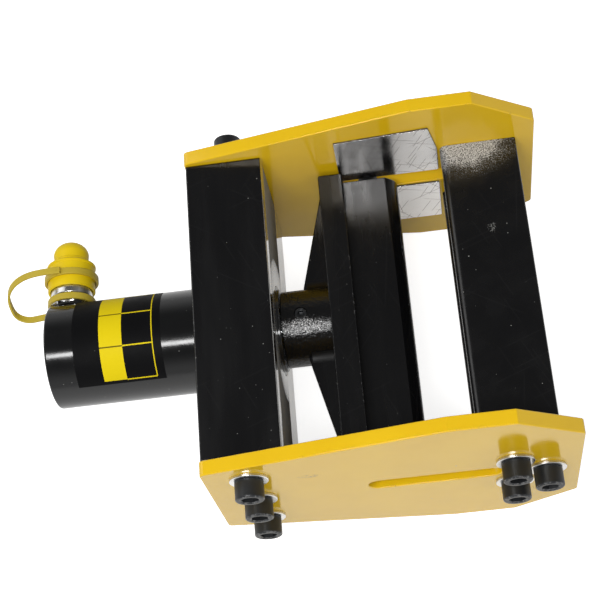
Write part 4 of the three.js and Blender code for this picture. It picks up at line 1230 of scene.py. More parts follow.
class Shop:
    """Makes Blender objects from surfaces, dresses them and puts them on their bodies."""

    def __init__(self) -> None:
        """Builds the shared shader groups. No material is made yet."""
        self.effects = Effects()
        self.made: dict[str, Material] = {}

    def material(self, finish: Finish | PrintedLabel) -> Material:
        """A finish's material, made when it is first used.

        Args:
            finish: The finish.

        Returns:
            The material.
        """
        if finish.name not in self.made:
            self.made[finish.name] = finish.material(self.effects)
        return self.made[finish.name]

    def add(
        self,
        node: str,
        word: str,
        shell: Shell,
        finish: Finish | PrintedLabel,
        slot: str = "",
        body: Body | None = Body.FRAME,
        nodes: Sequence[str] | None = None,
    ) -> Object:
        """Makes a piece.

        Args:
            node: The first part of its name, as a rule the CAD node that it replaces.
            word: The last part of its name.
            shell: Its surface.
            finish: Its finish.
            slot: The record's material slot; not used.
            body: The body that it rides on, or None for a piece on no body.
            nodes: The CAD nodes that it replaces, where they aren't the one in its name.

        Returns:
            The piece.
        """
        mesh = new_mesh(f"{node}_{word}", shell)
        edge = mesh.attributes.new("edge", "FLOAT", "POINT")
        edge.data.foreach_set("value", shell.wear.astype(np.float32))
        mesh.polygons.foreach_set("use_smooth", np.ones(len(mesh.polygons), bool))
        mesh.set_sharp_from_angle(angle=SMOOTH_LIMIT)
        mesh.materials.append(self.material(finish))
        mesh.validate()
        piece = linked(mesh.name, mesh)
        if body is not None:
            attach(piece, body.value)
        nodes = [node] if nodes is None else nodes
        if nodes:
            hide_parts(*nodes)
        carrier = body.value if body else "two bodies"
        LOG.info("%s: %d faces on %s", piece.name, len(mesh.polygons), carrier)
        return piece

    def drill(self, piece: Object, cutter: Shell) -> None:
        """Cuts a closed surface out of a piece.

        Args:
            piece: The piece, whose mesh is replaced by the cut one.
            cutter: The surface.
        """
        drill = linked("drill", new_mesh("drill", cutter))
        cut = piece.modifiers.new("drill", "BOOLEAN")
        cut.operation, cut.solver, cut.object = "DIFFERENCE", "EXACT", drill
        bpy.context.view_layer.update()
        graph = bpy.context.evaluated_depsgraph_get()
        piece.data = bpy.data.meshes.new_from_object(piece.evaluated_get(graph))
        piece.modifiers.clear()
        bpy.data.objects.remove(drill)
        piece.data.set_sharp_from_angle(angle=SMOOTH_LIMIT)

    def dress(self, nodes: Sequence[str], finish: Finish) -> None:
        """Gives CAD nodes that keep their own shape a finish.

        Args:
            nodes: The names of the nodes.
            finish: The finish.
        """
        for name in nodes:
            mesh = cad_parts[name].data
            mesh.materials.clear()
            mesh.materials.append(self.material(finish))
            LOG.info("%s: keeps its CAD shape, in %s", name, finish.name)

    def shorten(self, node: str, axis: int, moving_high: bool) -> None:
        """Gives a spring a copy of its CAD mesh, on no body.

        Args:
            node: The spring's CAD node, whose loose triangles are merged.
            axis: The number of the axis that it lies along.
            moving_high: Whether the end at the axis's higher place is the one that moves.
        """
        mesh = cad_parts[node].data
        points = np.empty(3 * len(mesh.vertices), np.float32)
        corners = np.empty(len(mesh.loops), np.int32)
        mesh.vertices.foreach_get("co", points)
        mesh.loops.foreach_get("vertex_index", corners)
        drawn = (points.reshape(-1, 3) - Drawing.place((0, 0, 0))) / MM
        shell = Shell(drawn, [corners.reshape(-1, 3)], np.zeros(len(drawn))).welded()
        piece = self.add(node, "wound", shell, Palette.spring, "spring_steel", None)
        low, high = (list(corner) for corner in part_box(node))
        fixed = [(a + b) / 2 for a, b in zip(low, high)]
        moving = list(fixed)
        still, moved = (low, high) if moving_high else (high, low)
        fixed[axis], moving[axis] = still[axis], moved[axis]
        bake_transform(piece)

    def second_finish(
        self, piece: Object, finish: Finish, low: Numbers, high: Numbers
    ) -> None:
        """Puts a second finish on the faces whose middle lies in a box of the tool's frame.

        Args:
            piece: The piece.
            finish: The second finish.
            low: The box's low corner.
            high: Its high corner.
        """
        mesh = piece.data
        mesh.materials.append(self.material(finish))
        middle = np.empty(len(mesh.polygons) * 3, np.float32)
        mesh.polygons.foreach_get("center", middle)
        middle = middle.reshape(-1, 3)
        inside = (middle >= Drawing.place(low)) & (middle <= Drawing.place(high))
        mesh.polygons.foreach_set("material_index", inside.all(axis=1).astype(np.int32))


@dataclass
class SidePlates:
    """The two yellow plates with their guide slots and the wear strips on their inner faces."""

    spacing: float = 205.0
    thickness: float = 9.5
    length: float = 230.5
    rear_height: float = 110.5
    full_height: float = 170.5
    front_height: float = 110.5
    taper_length: float = 150.0
    chamfer_length: float = 40.0
    corner_radius: float = 3.5
    break_radius: float = 1.2
    edge_radius: float = 0.7
    slot_start: float = 98.0
    slot_length: float = 84.0
    slot_width: float = 15.0
    bolt_hole: float = 13.5
    strip_thickness: float = 1.2
    strip_start: float = 99.5
    strip_length: float = 67.0
    strip_margin: float = 1.5
    strip_rear_rise: float = 58.5
    strip_front_rise: float = 63.0
    strip_corner_length: float = 5.0
    strip_corner_drop: float = 26.0
    strip_fall: float = 57.5
    strip_corner: float = 0.9
    strip_edge: float = 0.1

    @property
    def inner(self) -> float:
        """Distance of the inner faces from the middle."""
        return self.spacing / 2

    @property
    def outer(self) -> float:
        """Distance of the outer faces from the middle."""
        return self.inner + self.thickness

    def plate(self, bolts: Sequence[Pair]) -> Shell:
        """The near plate: its outline, the slot and the bolt holes, through the thickness.

        Args:
            bolts: Places of the bolt holes.

        Returns:
            The closed surface.
        """
        rear, full, front = self.rear_height / 2, self.full_height / 2, self.front_height / 2
        chamfer = self.length - self.chamfer_length
        lower = [(0, -rear), (self.taper_length, -full), (chamfer, -full), (self.length, -front)]
        corners = lower + [(x, -z) for x, z in lower[::-1]]
        round_end, break_line = self.corner_radius, self.break_radius
        radii = [round_end, break_line, break_line, round_end] * 2
        outline, _ = rounded(corners, radii)
        slot = long_hole(self.slot_start, self.slot_start + self.slot_length, self.slot_width)
        holes = [slot] + [circle(place, self.bolt_hole / 2) for place in bolts]
        profile = edge_profile(-self.outer, -self.inner, self.edge_radius)
        return slab([outline] + [hole[::-1] for hole in holes], profile, Axis.Y)

    def strip(self, upper: bool) -> Shell:
        """A wear strip of the near plate, above its slot or below it.

        Args:
            upper: Whether it lies above the slot.

        Returns:
            The closed surface.
        """
        low = self.slot_width / 2 + self.strip_margin
        start, front = self.strip_start, self.strip_start + self.strip_length
        corners = rectangle((start, -self.strip_fall), (front, -low))
        if upper:
            corners = [(start, low), (front, low),
                       (front, self.strip_front_rise - self.strip_corner_drop),
                       (front - self.strip_corner_length, self.strip_front_rise),
                       (start, self.strip_rear_rise)]
        ends = (-self.inner, -self.inner + self.strip_thickness)
        return block(corners, self.strip_corner, ends, self.strip_edge, Axis.Y, guard=0.1)

    def build(self, shop: Shop, bolts: Sequence[Pair]) -> None:
        """Makes both plates and the four strips.

        Args:
            shop: The shop.
            bolts: Places of the bolt holes.
        """
        plate = self.plate(bolts)
        strips = {"upper": self.strip(True), "lower": self.strip(False)}
        rim_depth = self.strip_thickness - self.strip_edge
        for side in Side:
            near = side is Side.NEAR
            finish = Palette.near_yellow if near else Palette.yellow
            shape = plate if near else plate.mirrored()
            node = f"{side.word}_side_plate"
            shop.add(node, "enamelled", shape, finish, "yellow_paint")
            for level, strip in strips.items():
                node = f"{side.word}_{level}_wear_strip"
                shape = strip if near else strip.mirrored()
                piece = shop.add(node, "scratched", shape, Palette.worn_steel, "ground_steel")
                rim = sorted((side.value * self.inner, side.value * (self.inner - rim_depth)))
                shop.second_finish(piece, Palette.cut_edge, (0, rim[0], -self.full_height),
                                   (self.length, rim[1], self.full_height))


@dataclass
class Blocks:
    """The rear block, which holds the cylinder, and the front block, the die."""

    plates: SidePlates
    rear_start: float = 0.8
    rear_length: float = 50.0
    rear_height: float = 106.0
    rear_bolt_inset: float = 27.2
    rear_bolt_pitch: float = 40.0
    neck_radius: float = 31.3
    neck_length: float = 33.7
    gland_radius: float = 29.8
    front_start: float = 168.2
    front_length: float = 50.0
    front_height: float = 74.5
    front_radius: float = 4.5
    mouth: float = 54.0
    depth: float = 22.0
    flat: float = 10.0
    mouth_corner: float = 1.5
    flat_corner: float = 1.0
    front_bolt_inset: float = 21.3
    front_bolt_step: float = 20.0
    front_bolt_pitch: float = 39.0
    edge_radius: float = 0.9
    corner: float = 1.3
    end_edge: float = 0.4

    @property
    def rear_front(self) -> float:
        """Place of the rear block's front face."""
        return self.rear_start + self.rear_length

    @property
    def rear_bolts(self) -> list[Pair]:
        """Places of the rear bolts, in the order of their numbers."""
        x, pitch = self.rear_start + self.rear_bolt_inset, self.rear_bolt_pitch
        return [(x, pitch), (x, 0.0), (x, -pitch)]

    @property
    def front_bolts(self) -> list[Pair]:
        """Places of the front bolts, in the order of their numbers."""
        x, half = self.front_start + self.front_bolt_inset, self.front_bolt_pitch / 2
        return [(x, half), (x + self.front_bolt_step, 0.0), (x, -half)]

    def rear(self) -> Shell:
        """The rear block: a rectangle with the stepped bore for the cylinder, along X.

        Returns:
            The closed surface.
        """
        half_width, half_height = self.plates.inner, self.rear_height / 2
        corners = rectangle((-half_width, -half_height), (half_width, half_height))
        outline, _ = rounded(corners, self.corner)
        profile = edge_profile(self.rear_start, self.rear_front, self.edge_radius)
        step = self.rear_start + self.neck_length
        wider = self.neck_radius - self.gland_radius
        half = len(profile) // 2
        low, high = profile[:half] + [wider, 0, 0], profile[half:]
        bore = np.concatenate([low, [[wider, step, 0], [0, step, 0]], high])
        hole = circle((0, 0), self.gland_radius, 96)[::-1]
        return slab([outline, hole], [profile, bore], Axis.X)

    def front(self) -> Shell:
        """The die: its section with the vee, along Y.

        Returns:
            The closed surface.
        """
        low, high = self.front_start, self.front_start + self.front_length
        half, mouth, flat = self.front_height / 2, self.mouth / 2, self.flat / 2
        corners = [*rectangle((low, -half), (high, half)), (low, mouth),
                   (low + self.depth, flat), (low + self.depth, -flat), (low, -mouth)]
        soft, corner = self.front_radius, self.corner
        vee = [self.mouth_corner, self.flat_corner]
        radii = [soft, corner, corner, soft, *vee, *vee[::-1]]
        return block(corners, radii, (-self.plates.inner, self.plates.inner), self.end_edge, Axis.Y)

    def build(self, shop: Shop) -> None:
        """Makes both blocks. The rear one's front face is ground steel with a band of painted shade.

        Args:
            shop: The shop.
        """
        rear = shop.add("rear_block", "painted", self.rear(), Palette.black, "black_paint")
        face = self.rear_front - self.edge_radius / 2
        reach = self.plates.spacing
        shop.second_finish(rear, Palette.ground_face, (face, -reach, -reach),
                           (self.rear_front + 1, reach, reach))
        shop.add("front_block", "painted", self.front(), Palette.die_black, "black_paint")


@dataclass
class Fasteners:
    """The cap screws through the plates, and their washers."""

    plates: SidePlates
    length: float = 30.0
    radius: float = 6.0
    head_radius: float = 9.0
    head_height: float = 12.0
    hex_half: float = 5.0
    hex_depth: float = 6.0
    washer_radius: float = 12.0
    washer_thickness: float = 2.0
    clock: tuple[float, ...] = (11.0, 38.0, 24.0, 52.0, 6.0, 31.0)

    def screw(self) -> Shell:
        """A cap screw along Y, its head up, the face under the head at 0.

        Returns:
            The closed surface.
        """
        top, far = self.head_height, self.length
        stem, head, flat = self.radius, self.head_radius, self.hex_half
        floor = top - self.hex_depth
        return faceted([
            (-far, 0, 0), (-far, stem - 0.9, 0), (0.9 - far, stem, 0), (-0.3, stem, 0),
            (0, stem + 0.2, 0), (0, head - 0.5, 0), (0, head - 0.3, 0.6), (0.3, head, 0.6),
            (0.7, head, 0), (top - 1.5, head, 0), (top - 1.1, head, 0.8),
            (top - 0.75, head - 0.1, 1), (top - 0.35, head - 0.42, 1), (top - 0.08, head - 0.85, 1),
            (top, head - 1.3, 0.8), (top, head - 1.7, 0.2), (top, flat + 1.6, 0.2),
            (top, flat + 1.2, 1), (top - 0.25, flat + 0.95, 1), (top - 0.7, WIDE, 1, flat, 1),
            (top - 1.0, WIDE, 0.3, flat, 1), (floor + 0.3, WIDE, 0, flat, 1),
            (floor, WIDE, 0, flat - 0.2, 1), (floor - 1.8, 0, 0),
        ], Axis.Y)

    def washer(self) -> Shell:
        """A washer along Y under the screw's head."""
        corners = shaft((-self.washer_thickness, 0), (self.washer_radius,), self.radius + FIT)
        return spun(corners, [0.2, 0.35, 0.5, 0.2], Axis.Y, closed=True, guard=0.15)

    def build(self, shop: Shop, group: str, places: Sequence[Pair]) -> None:
        """Makes a group's screws and washers on both plates.

        Args:
            shop: The shop.
            group: The group's word in the nodes' names.
            places: The screws' places on the plates.
        """
        screw, washer = self.screw(), self.washer()
        seat = self.plates.outer + self.washer_thickness
        for side in Side:
            for number, (x, z) in enumerate(places, 1):
                turn = math.radians(self.clock[(3 * (side is Side.FAR) + number) % len(self.clock)])
                spin = np.array([[math.cos(turn), 0, math.sin(turn)], [0, 1, 0],
                                 [-math.sin(turn), 0, math.cos(turn)]])
                turned_screw = Shell(screw.points @ spin, screw.faces, screw.wear)
                for shape, kind, finish, slot in (
                    (turned_screw, "bolt", Palette.oxide, "black_oxide"),
                    (washer, "washer", Palette.zinc, "zinc_steel"),
                ):
                    placed = shape.moved((x, seat, z))
                    placed = placed if side is Side.FAR else placed.mirrored()
                    node = f"{side.word}_{group}_{kind}_{number}"
                    shop.add(node, "turned", placed, finish, slot)


@dataclass
class Cylinder:
    """The barrel with its sticker, the gland and the ram's rod."""

    radius: float = 34.5
    end: float = -101.0
    shoulder: float = 0.8
    neck_radius: float = 31.0
    neck_end: float = 34.5
    bore_radius: float = 25.0
    bore_end: float = -84.0
    chamfer: float = 1.2
    port_place: float = -90.4
    port_face: float = 33.5
    port_face_radius: float = 14.5
    gland_radius: float = 29.5
    lip_rear: float = 50.6
    lip_radius: float = 27.4
    gland_front: float = 52.8
    gland_rear: float = 18.2
    skirt_radius: float = 24.7
    rod_radius: float = 16.0
    spigot_radius: float = 10.0
    wiper_radius: float = 20.5
    wiper_width: float = 4.5
    rod_rear: float = -83.7
    piston_front: float = -60.0
    rod_front: float = 76.9
    label_start: float = -82.0
    label_end: float = -24.0
    label_angle: float = 61.6
    label_rise: float = 0.12

    def barrel(self) -> Shell:
        """The barrel along X, with the port's spot face milled flat.

        The turned grid's points within the spot face's radius of the port's axis are brought
        down to the face: Y is the smaller of Y and the face's place.

        Returns:
            The closed surface.
        """
        places = (self.end, self.shoulder, self.neck_end, self.bore_end)
        corners = shaft(places, (self.radius, self.neck_radius, self.bore_radius))
        profile, wear = rounded(corners, [self.chamfer, 0.8, 0.5, 0.8, 0.5, 0.5], closed=False)
        start = self.end + self.chamfer + 0.6
        extra = np.arange(start, self.port_place + self.port_face_radius + 1, 0.6)
        shell = turned(*refined(profile, wear, extra, self.radius), Axis.X, segments=240)
        x, y, z = shell.points.T
        near = (x - self.port_place) ** 2 + z**2 < self.port_face_radius**2
        flat = near & (y > self.port_face)
        shell.points[flat, 1] = self.port_face
        return shell

    def gland(self) -> Shell:
        """The gland: a ring with a skirt in the bore and a seat for the wiper in front.

        Returns:
            The closed surface.
        """
        front = self.gland_front
        places = (self.gland_rear, self.neck_end, self.lip_rear, front, front - self.wiper_width)
        widths = (self.skirt_radius, self.gland_radius, self.lip_radius, self.wiper_radius)
        radii = [0.3, 0.3, 0.3, 0.5, 0.4, 0.4, 0.7, 0.3, 0.3, 0.3]
        corners = shaft(places, widths, self.rod_radius + FIT)
        return spun(corners, radii, Axis.X, closed=True, segments=144)

    def rod(self) -> Shell:
        """The rod with its spigot for the piston.

        Returns:
            The closed surface.
        """
        places = (self.rod_rear, self.piston_front, self.rod_front)
        corners = shaft(places, (self.spigot_radius, self.rod_radius))
        return spun(corners, [0.8, 0.5, 0.8, 1.0], Axis.X, segments=128)

    def wiper(self) -> Shell:
        """The wiper: a ring whose front face dips between its two lips.

        Returns:
            The closed surface.
        """
        inner, outer, front = self.rod_radius + FIT, self.wiper_radius - FIT, self.gland_front
        rear = front - self.wiper_width + FIT
        corners = [(rear, inner), (rear, outer), (front - 0.4, outer), (front - 0.6, inner + 2.2),
                   (front, inner + 0.7), (front - 0.1, inner)]
        return spun(corners, [0.2, 0.2, 0.3, 0.4, 0.2, 0.1], Axis.X, closed=True, guard=0.1)

    def label(self) -> Shell:
        """The sticker, a thin sheet bent round the barrel.

        At (u, v) of its grid the outer face lies at the radius plus the rise, at a place u of
        its length and an angle v of its width from the near edge to the far edge. Its rim is a
        row that drops to just under the barrel's face, and the inner face closes it.

        Returns:
            The closed surface.
        """
        columns, rows = 24, 72
        u = np.r_[0, np.linspace(0, 1, columns), 1]
        v = np.r_[0, np.linspace(0, 1, rows), 1]
        grid_u, grid_v = np.meshgrid(u, v, indexing="ij")
        lift = np.full((2, *grid_u.shape), -0.1)
        lift[0, 1:-1, 1:-1] = self.label_rise
        reach = self.radius + lift
        angle = np.radians(self.label_angle) * (2 * grid_v - 1)
        place = self.label_start + grid_u * (self.label_end - self.label_start)
        place = np.broadcast_to(place, reach.shape)
        points = np.stack([place, np.sin(angle) * reach, np.cos(angle) * reach], axis=-1)
        outer = quads(columns + 2, rows + 2, wrap_columns=False)
        faces = [outer, outer[:, ::-1] + grid_u.size]
        return Shell(points.reshape(-1, 3), faces, np.zeros(points.size // 3)).welded().outward()

    def build(self, shop: Shop) -> None:
        """Makes the cylinder's visible pieces and dresses its hidden ones.

        Args:
            shop: The shop.
        """
        shop.add("cylinder_barrel", "painted", self.barrel(), Palette.barrel_black, "black_paint")
        shell = self.label()
        x, y, z = shell.points.T
        along = (x - self.label_start) / (self.label_end - self.label_start)
        around = (np.arctan2(y, z) / math.radians(self.label_angle) + 1) / 2
        marks = np.stack([along, around], axis=1)
        label = shop.add("barrel", "label", shell, Palette.label, nodes=())
        uv = label.data.uv_layers.new(name="label")
        corner = np.empty(len(label.data.loops), np.int32)
        label.data.loops.foreach_get("vertex_index", corner)
        uv.data.foreach_set("uv", marks[corner].astype(np.float32).ravel())
        shop.add("gland", "turned", self.gland(), Palette.gland_black, "black_oxide")
        shop.add("rod_wiper", "lipped", self.wiper(), Palette.rubber, "black_rubber")
        shop.add("piston_rod", "chromed", self.rod(), Palette.chrome, "chrome", Body.PUNCH)
        shop.dress(["piston"], Palette.ground)
        shop.dress(["piston_seal", "rod_seal"], Palette.polymer)
        shop.dress(["piston_guide_band"], Palette.bronze)
        shop.shorten("return_spring", 0, False)
        shop.dress(["gland_o_ring"], Palette.rubber)


@dataclass
class Punch:
    """The holder on the rod, the nose and the small parts that move with them."""

    width: float = 197.2
    holder_rear: float = 53.2
    holder_front: float = 101.6
    holder_height: float = 50.0
    bar_thickness: float = 16.2
    boss_radius: float = 25.4
    wing_height: float = 16.0
    wing_root: float = 15.0
    wing_end: float = 4.7
    wing_sunk: float = 4.0
    wing_step: float = 0.4
    wing_corners: Pair = (1.5, 2.5)
    wing_edge: float = 1.0
    fillet: float = 7.0
    edge: float = 0.8
    screw_spread: float = 120.0
    screw_seat: float = 91.0
    screw_hole: float = 5.3
    nose_rear: float = 96.6
    nose_height: float = 24.0
    nose_reach: float = 35.8
    nose_flat: float = 28.4
    tip_radius: float = 11.1
    flank_degrees: float = 45.0
    skin_height: float = 0.06
    skin_waves: Pair = (4.5, 1.6)
    lock_place: float = 66.4
    lock_radius: float = 4.0
    lock_low: float = 16.3
    lock_top: float = 24.7
    lock_hex_half: float = 2.0
    pin_place: float = 118.0
    pin_radius: float = 6.5
    pin_inner: float = 84.8
    pin_outer: float = 105.8

    @property
    def bar_rear(self) -> float:
        """Place of the bar's rear face."""
        return self.holder_front - self.bar_thickness

    def bar(self) -> Shell:
        """The holder's cross bar: its plan, through its height.

        Returns:
            The closed surface.
        """
        half, half_height = self.width / 2, self.holder_height / 2
        corners = rectangle((self.bar_rear, -half), (self.holder_front, half))
        return block(corners, 1.3, (-half_height, half_height), self.edge, Axis.Z)

    def wings(self) -> Shell:
        """Both wings: their plan from the bar's ends to the boss, through their height.

        Returns:
            The closed surface.
        """
        end, boss, half_height = self.width / 2 - self.wing_end, self.boss_radius, self.wing_height / 2
        root, rear = self.holder_rear + self.wing_root, self.bar_rear
        sunk, step, corner, inner = rear + self.wing_sunk, rear - self.wing_step, *self.wing_corners
        corners = [(sunk, -end), (sunk, end), (step, end), (root, boss), (root, -boss), (step, -end)]
        radii = [corner, corner, corner, inner, inner, corner]
        return block(corners, radii, (-half_height, half_height), self.wing_edge, Axis.Z)

    def fillets(self) -> Shell:
        """The cast fillets between the boss and the faces of the wings, along X.

        The hollow arc touches the wing's face, half a wing's height up, and the boss. So its
        centre lies the fillet's radius above the face and both radii from the ram's axis.

        Returns:
            The closed surface.
        """
        level = self.wing_height / 2
        up = level + self.fillet
        out = math.sqrt((self.boss_radius + self.fillet) ** 2 - up**2)
        turn = np.linspace(math.pi + math.atan2(up, out), 1.5 * math.pi, 13)
        arc = np.stack([out + self.fillet * np.cos(turn), up + self.fillet * np.sin(turn)], axis=1)
        foot = [(out + 1.0, level - 0.05), (out + 1.0, level - 2), (arc[0, 0] - 3, level - 2)]
        section = np.concatenate([arc, foot])[::-1]
        profile = edge_profile(self.holder_rear + self.wing_root + 2.2, self.bar_rear + 1, 0.02, 0.02)
        upper = slab([section], profile, Axis.X)
        one_side = [upper, upper.mirrored(2)]
        return Shell.joined(one_side + [shape.mirrored() for shape in one_side])

    def boss(self) -> Shell:
        """The boss, with the skin of a casting.

        A turned cylinder whose points move along their radius by two sizes of ripple, each
        times its height, faded out towards the two ends.

        Returns:
            The closed surface.
        """
        rear, front = self.holder_rear, self.bar_rear + 0.5
        corners = shaft((rear, front), (self.boss_radius,))
        profile, wear = rounded(corners, [0.9, 0.3], closed=False)
        extra = np.arange(rear + 1.8, front - 1.0, 0.45)
        shell = turned(*refined(profile, wear, extra, self.boss_radius), Axis.X, segments=300)
        away = np.linalg.norm(shell.points[:, 1:], axis=1)
        high, (long, short) = self.skin_height, self.skin_waves
        skin = high * ripple(shell.points, long, 3) + high * ripple(shell.points, short, 5) - 0.09
        ends = np.minimum(shell.points[:, 0] - rear, front - shell.points[:, 0])
        fade = np.clip((ends - 1.0) / 2.5, 0, 1) * (away > self.boss_radius - 0.2)
        scale = 1 + np.minimum(skin, 0.0) * fade / np.maximum(away, 1)
        shell.points[:, 1:] *= scale[:, None]
        return shell

    def nose(self) -> Shell:
        """The nose: a flat section whose flanks run into a round tip, along Y.

        The tip's points lie at the tip radius times (cosine, sine) of an angle between the
        flanks, from a centre one radius behind the tip.

        Returns:
            The closed surface.
        """
        half, tip = self.nose_height / 2, self.holder_front + self.nose_reach
        flank = math.radians(self.flank_degrees)
        angle = np.linspace(-flank, flank, 17)
        centre = tip - self.tip_radius
        bow = np.stack([centre + self.tip_radius * np.cos(angle), self.tip_radius * np.sin(angle)],
                       axis=1)
        corners = [(self.nose_rear, -half), (self.holder_front + self.nose_flat, -half), bow[0]]
        lower, _ = rounded(corners, 1.2, closed=False)
        outline = np.concatenate([lower[:-1], bow, lower[-2::-1] * [1, -1]])
        reach = self.width / 2
        return slab([outline], edge_profile(-reach, reach, 0.6), Axis.Y)

    def lock_screw(self) -> Shell:
        """The headless screw on top of the boss, along Z, with its hexagon socket.

        Returns:
            The closed surface.
        """
        low, top, radius, flat = self.lock_low, self.lock_top, self.lock_radius, self.lock_hex_half
        return faceted([
            (low, 0, 0), (low, radius - 0.6, 0), (low + 0.6, radius, 0), (top - 0.9, radius, 0),
            (top - 0.5, radius, 1), (top - 0.1, radius - 0.35, 1), (top, radius - 0.6, 1),
            (top, radius - 1.0, 0.3), (top, flat + 0.5, 0.6), (top - 0.2, WIDE, 0.6, flat, 1),
            (top - 3.0, WIDE, 0, flat, 1), (top - 3.8, 0, 0),
        ], Axis.Z).moved((self.lock_place, 0, 0))

    def pin(self) -> Shell:
        """The far guide pin, along Y."""
        corners = shaft((self.pin_inner, self.pin_outer), (self.pin_radius,))
        return spun(corners, [0.5, 0.9], Axis.Y, segments=72).moved((self.pin_place, 0, 0))

    def build(self, shop: Shop) -> None:
        """Makes the punch's pieces.

        Args:
            shop: The shop.
        """
        holder = {}
        for word, shape, finish in (
            ("bar", self.bar(), Palette.black), ("wings", self.wings(), Palette.black),
            ("fillets", self.fillets(), Palette.dull_cast), ("boss", self.boss(), Palette.cast),
        ):
            holder[word] = shop.add("punch_holder", word, shape, finish, "cast_black", Body.PUNCH)
        bore = self._drill(self.screw_hole, self.holder_rear, self.screw_seat, Axis.X)
        for side in Side:
            for word in ("bar", "wings"):
                shop.drill(holder[word], bore.moved((0, side.value * self.screw_spread / 2, 0)))
        hole = self._drill(self.lock_radius + 0.25, self.lock_low - 1, self.boss_radius + 4, Axis.Z)
        shop.drill(holder["boss"], hole.moved((self.lock_place, 0, 0)))
        shop.add("punch_nose", "painted", self.nose(), Palette.black, "cast_black", Body.PUNCH)
        shop.add("lock_screw", "turned", self.lock_screw(), Palette.oxide, "black_oxide", Body.PUNCH)
        pin = self.pin()
        for side in Side:
            shape = pin if side is Side.FAR else pin.mirrored()
            shop.add(f"{side.word}_guide_pin", "turned", shape, Palette.oxide, "ground_steel",
                     Body.PUNCH)
        shop.dress(["near_nose_screw", "far_nose_screw"], Palette.oxide)

    def _drill(self, radius: float, low: float, high: float, axis: Axis) -> Shell:
        """A cutter for a round hole along an axis."""
        return spun(shaft((low, high), (radius,)), 0.15, axis, segments=48, guard=0.1)


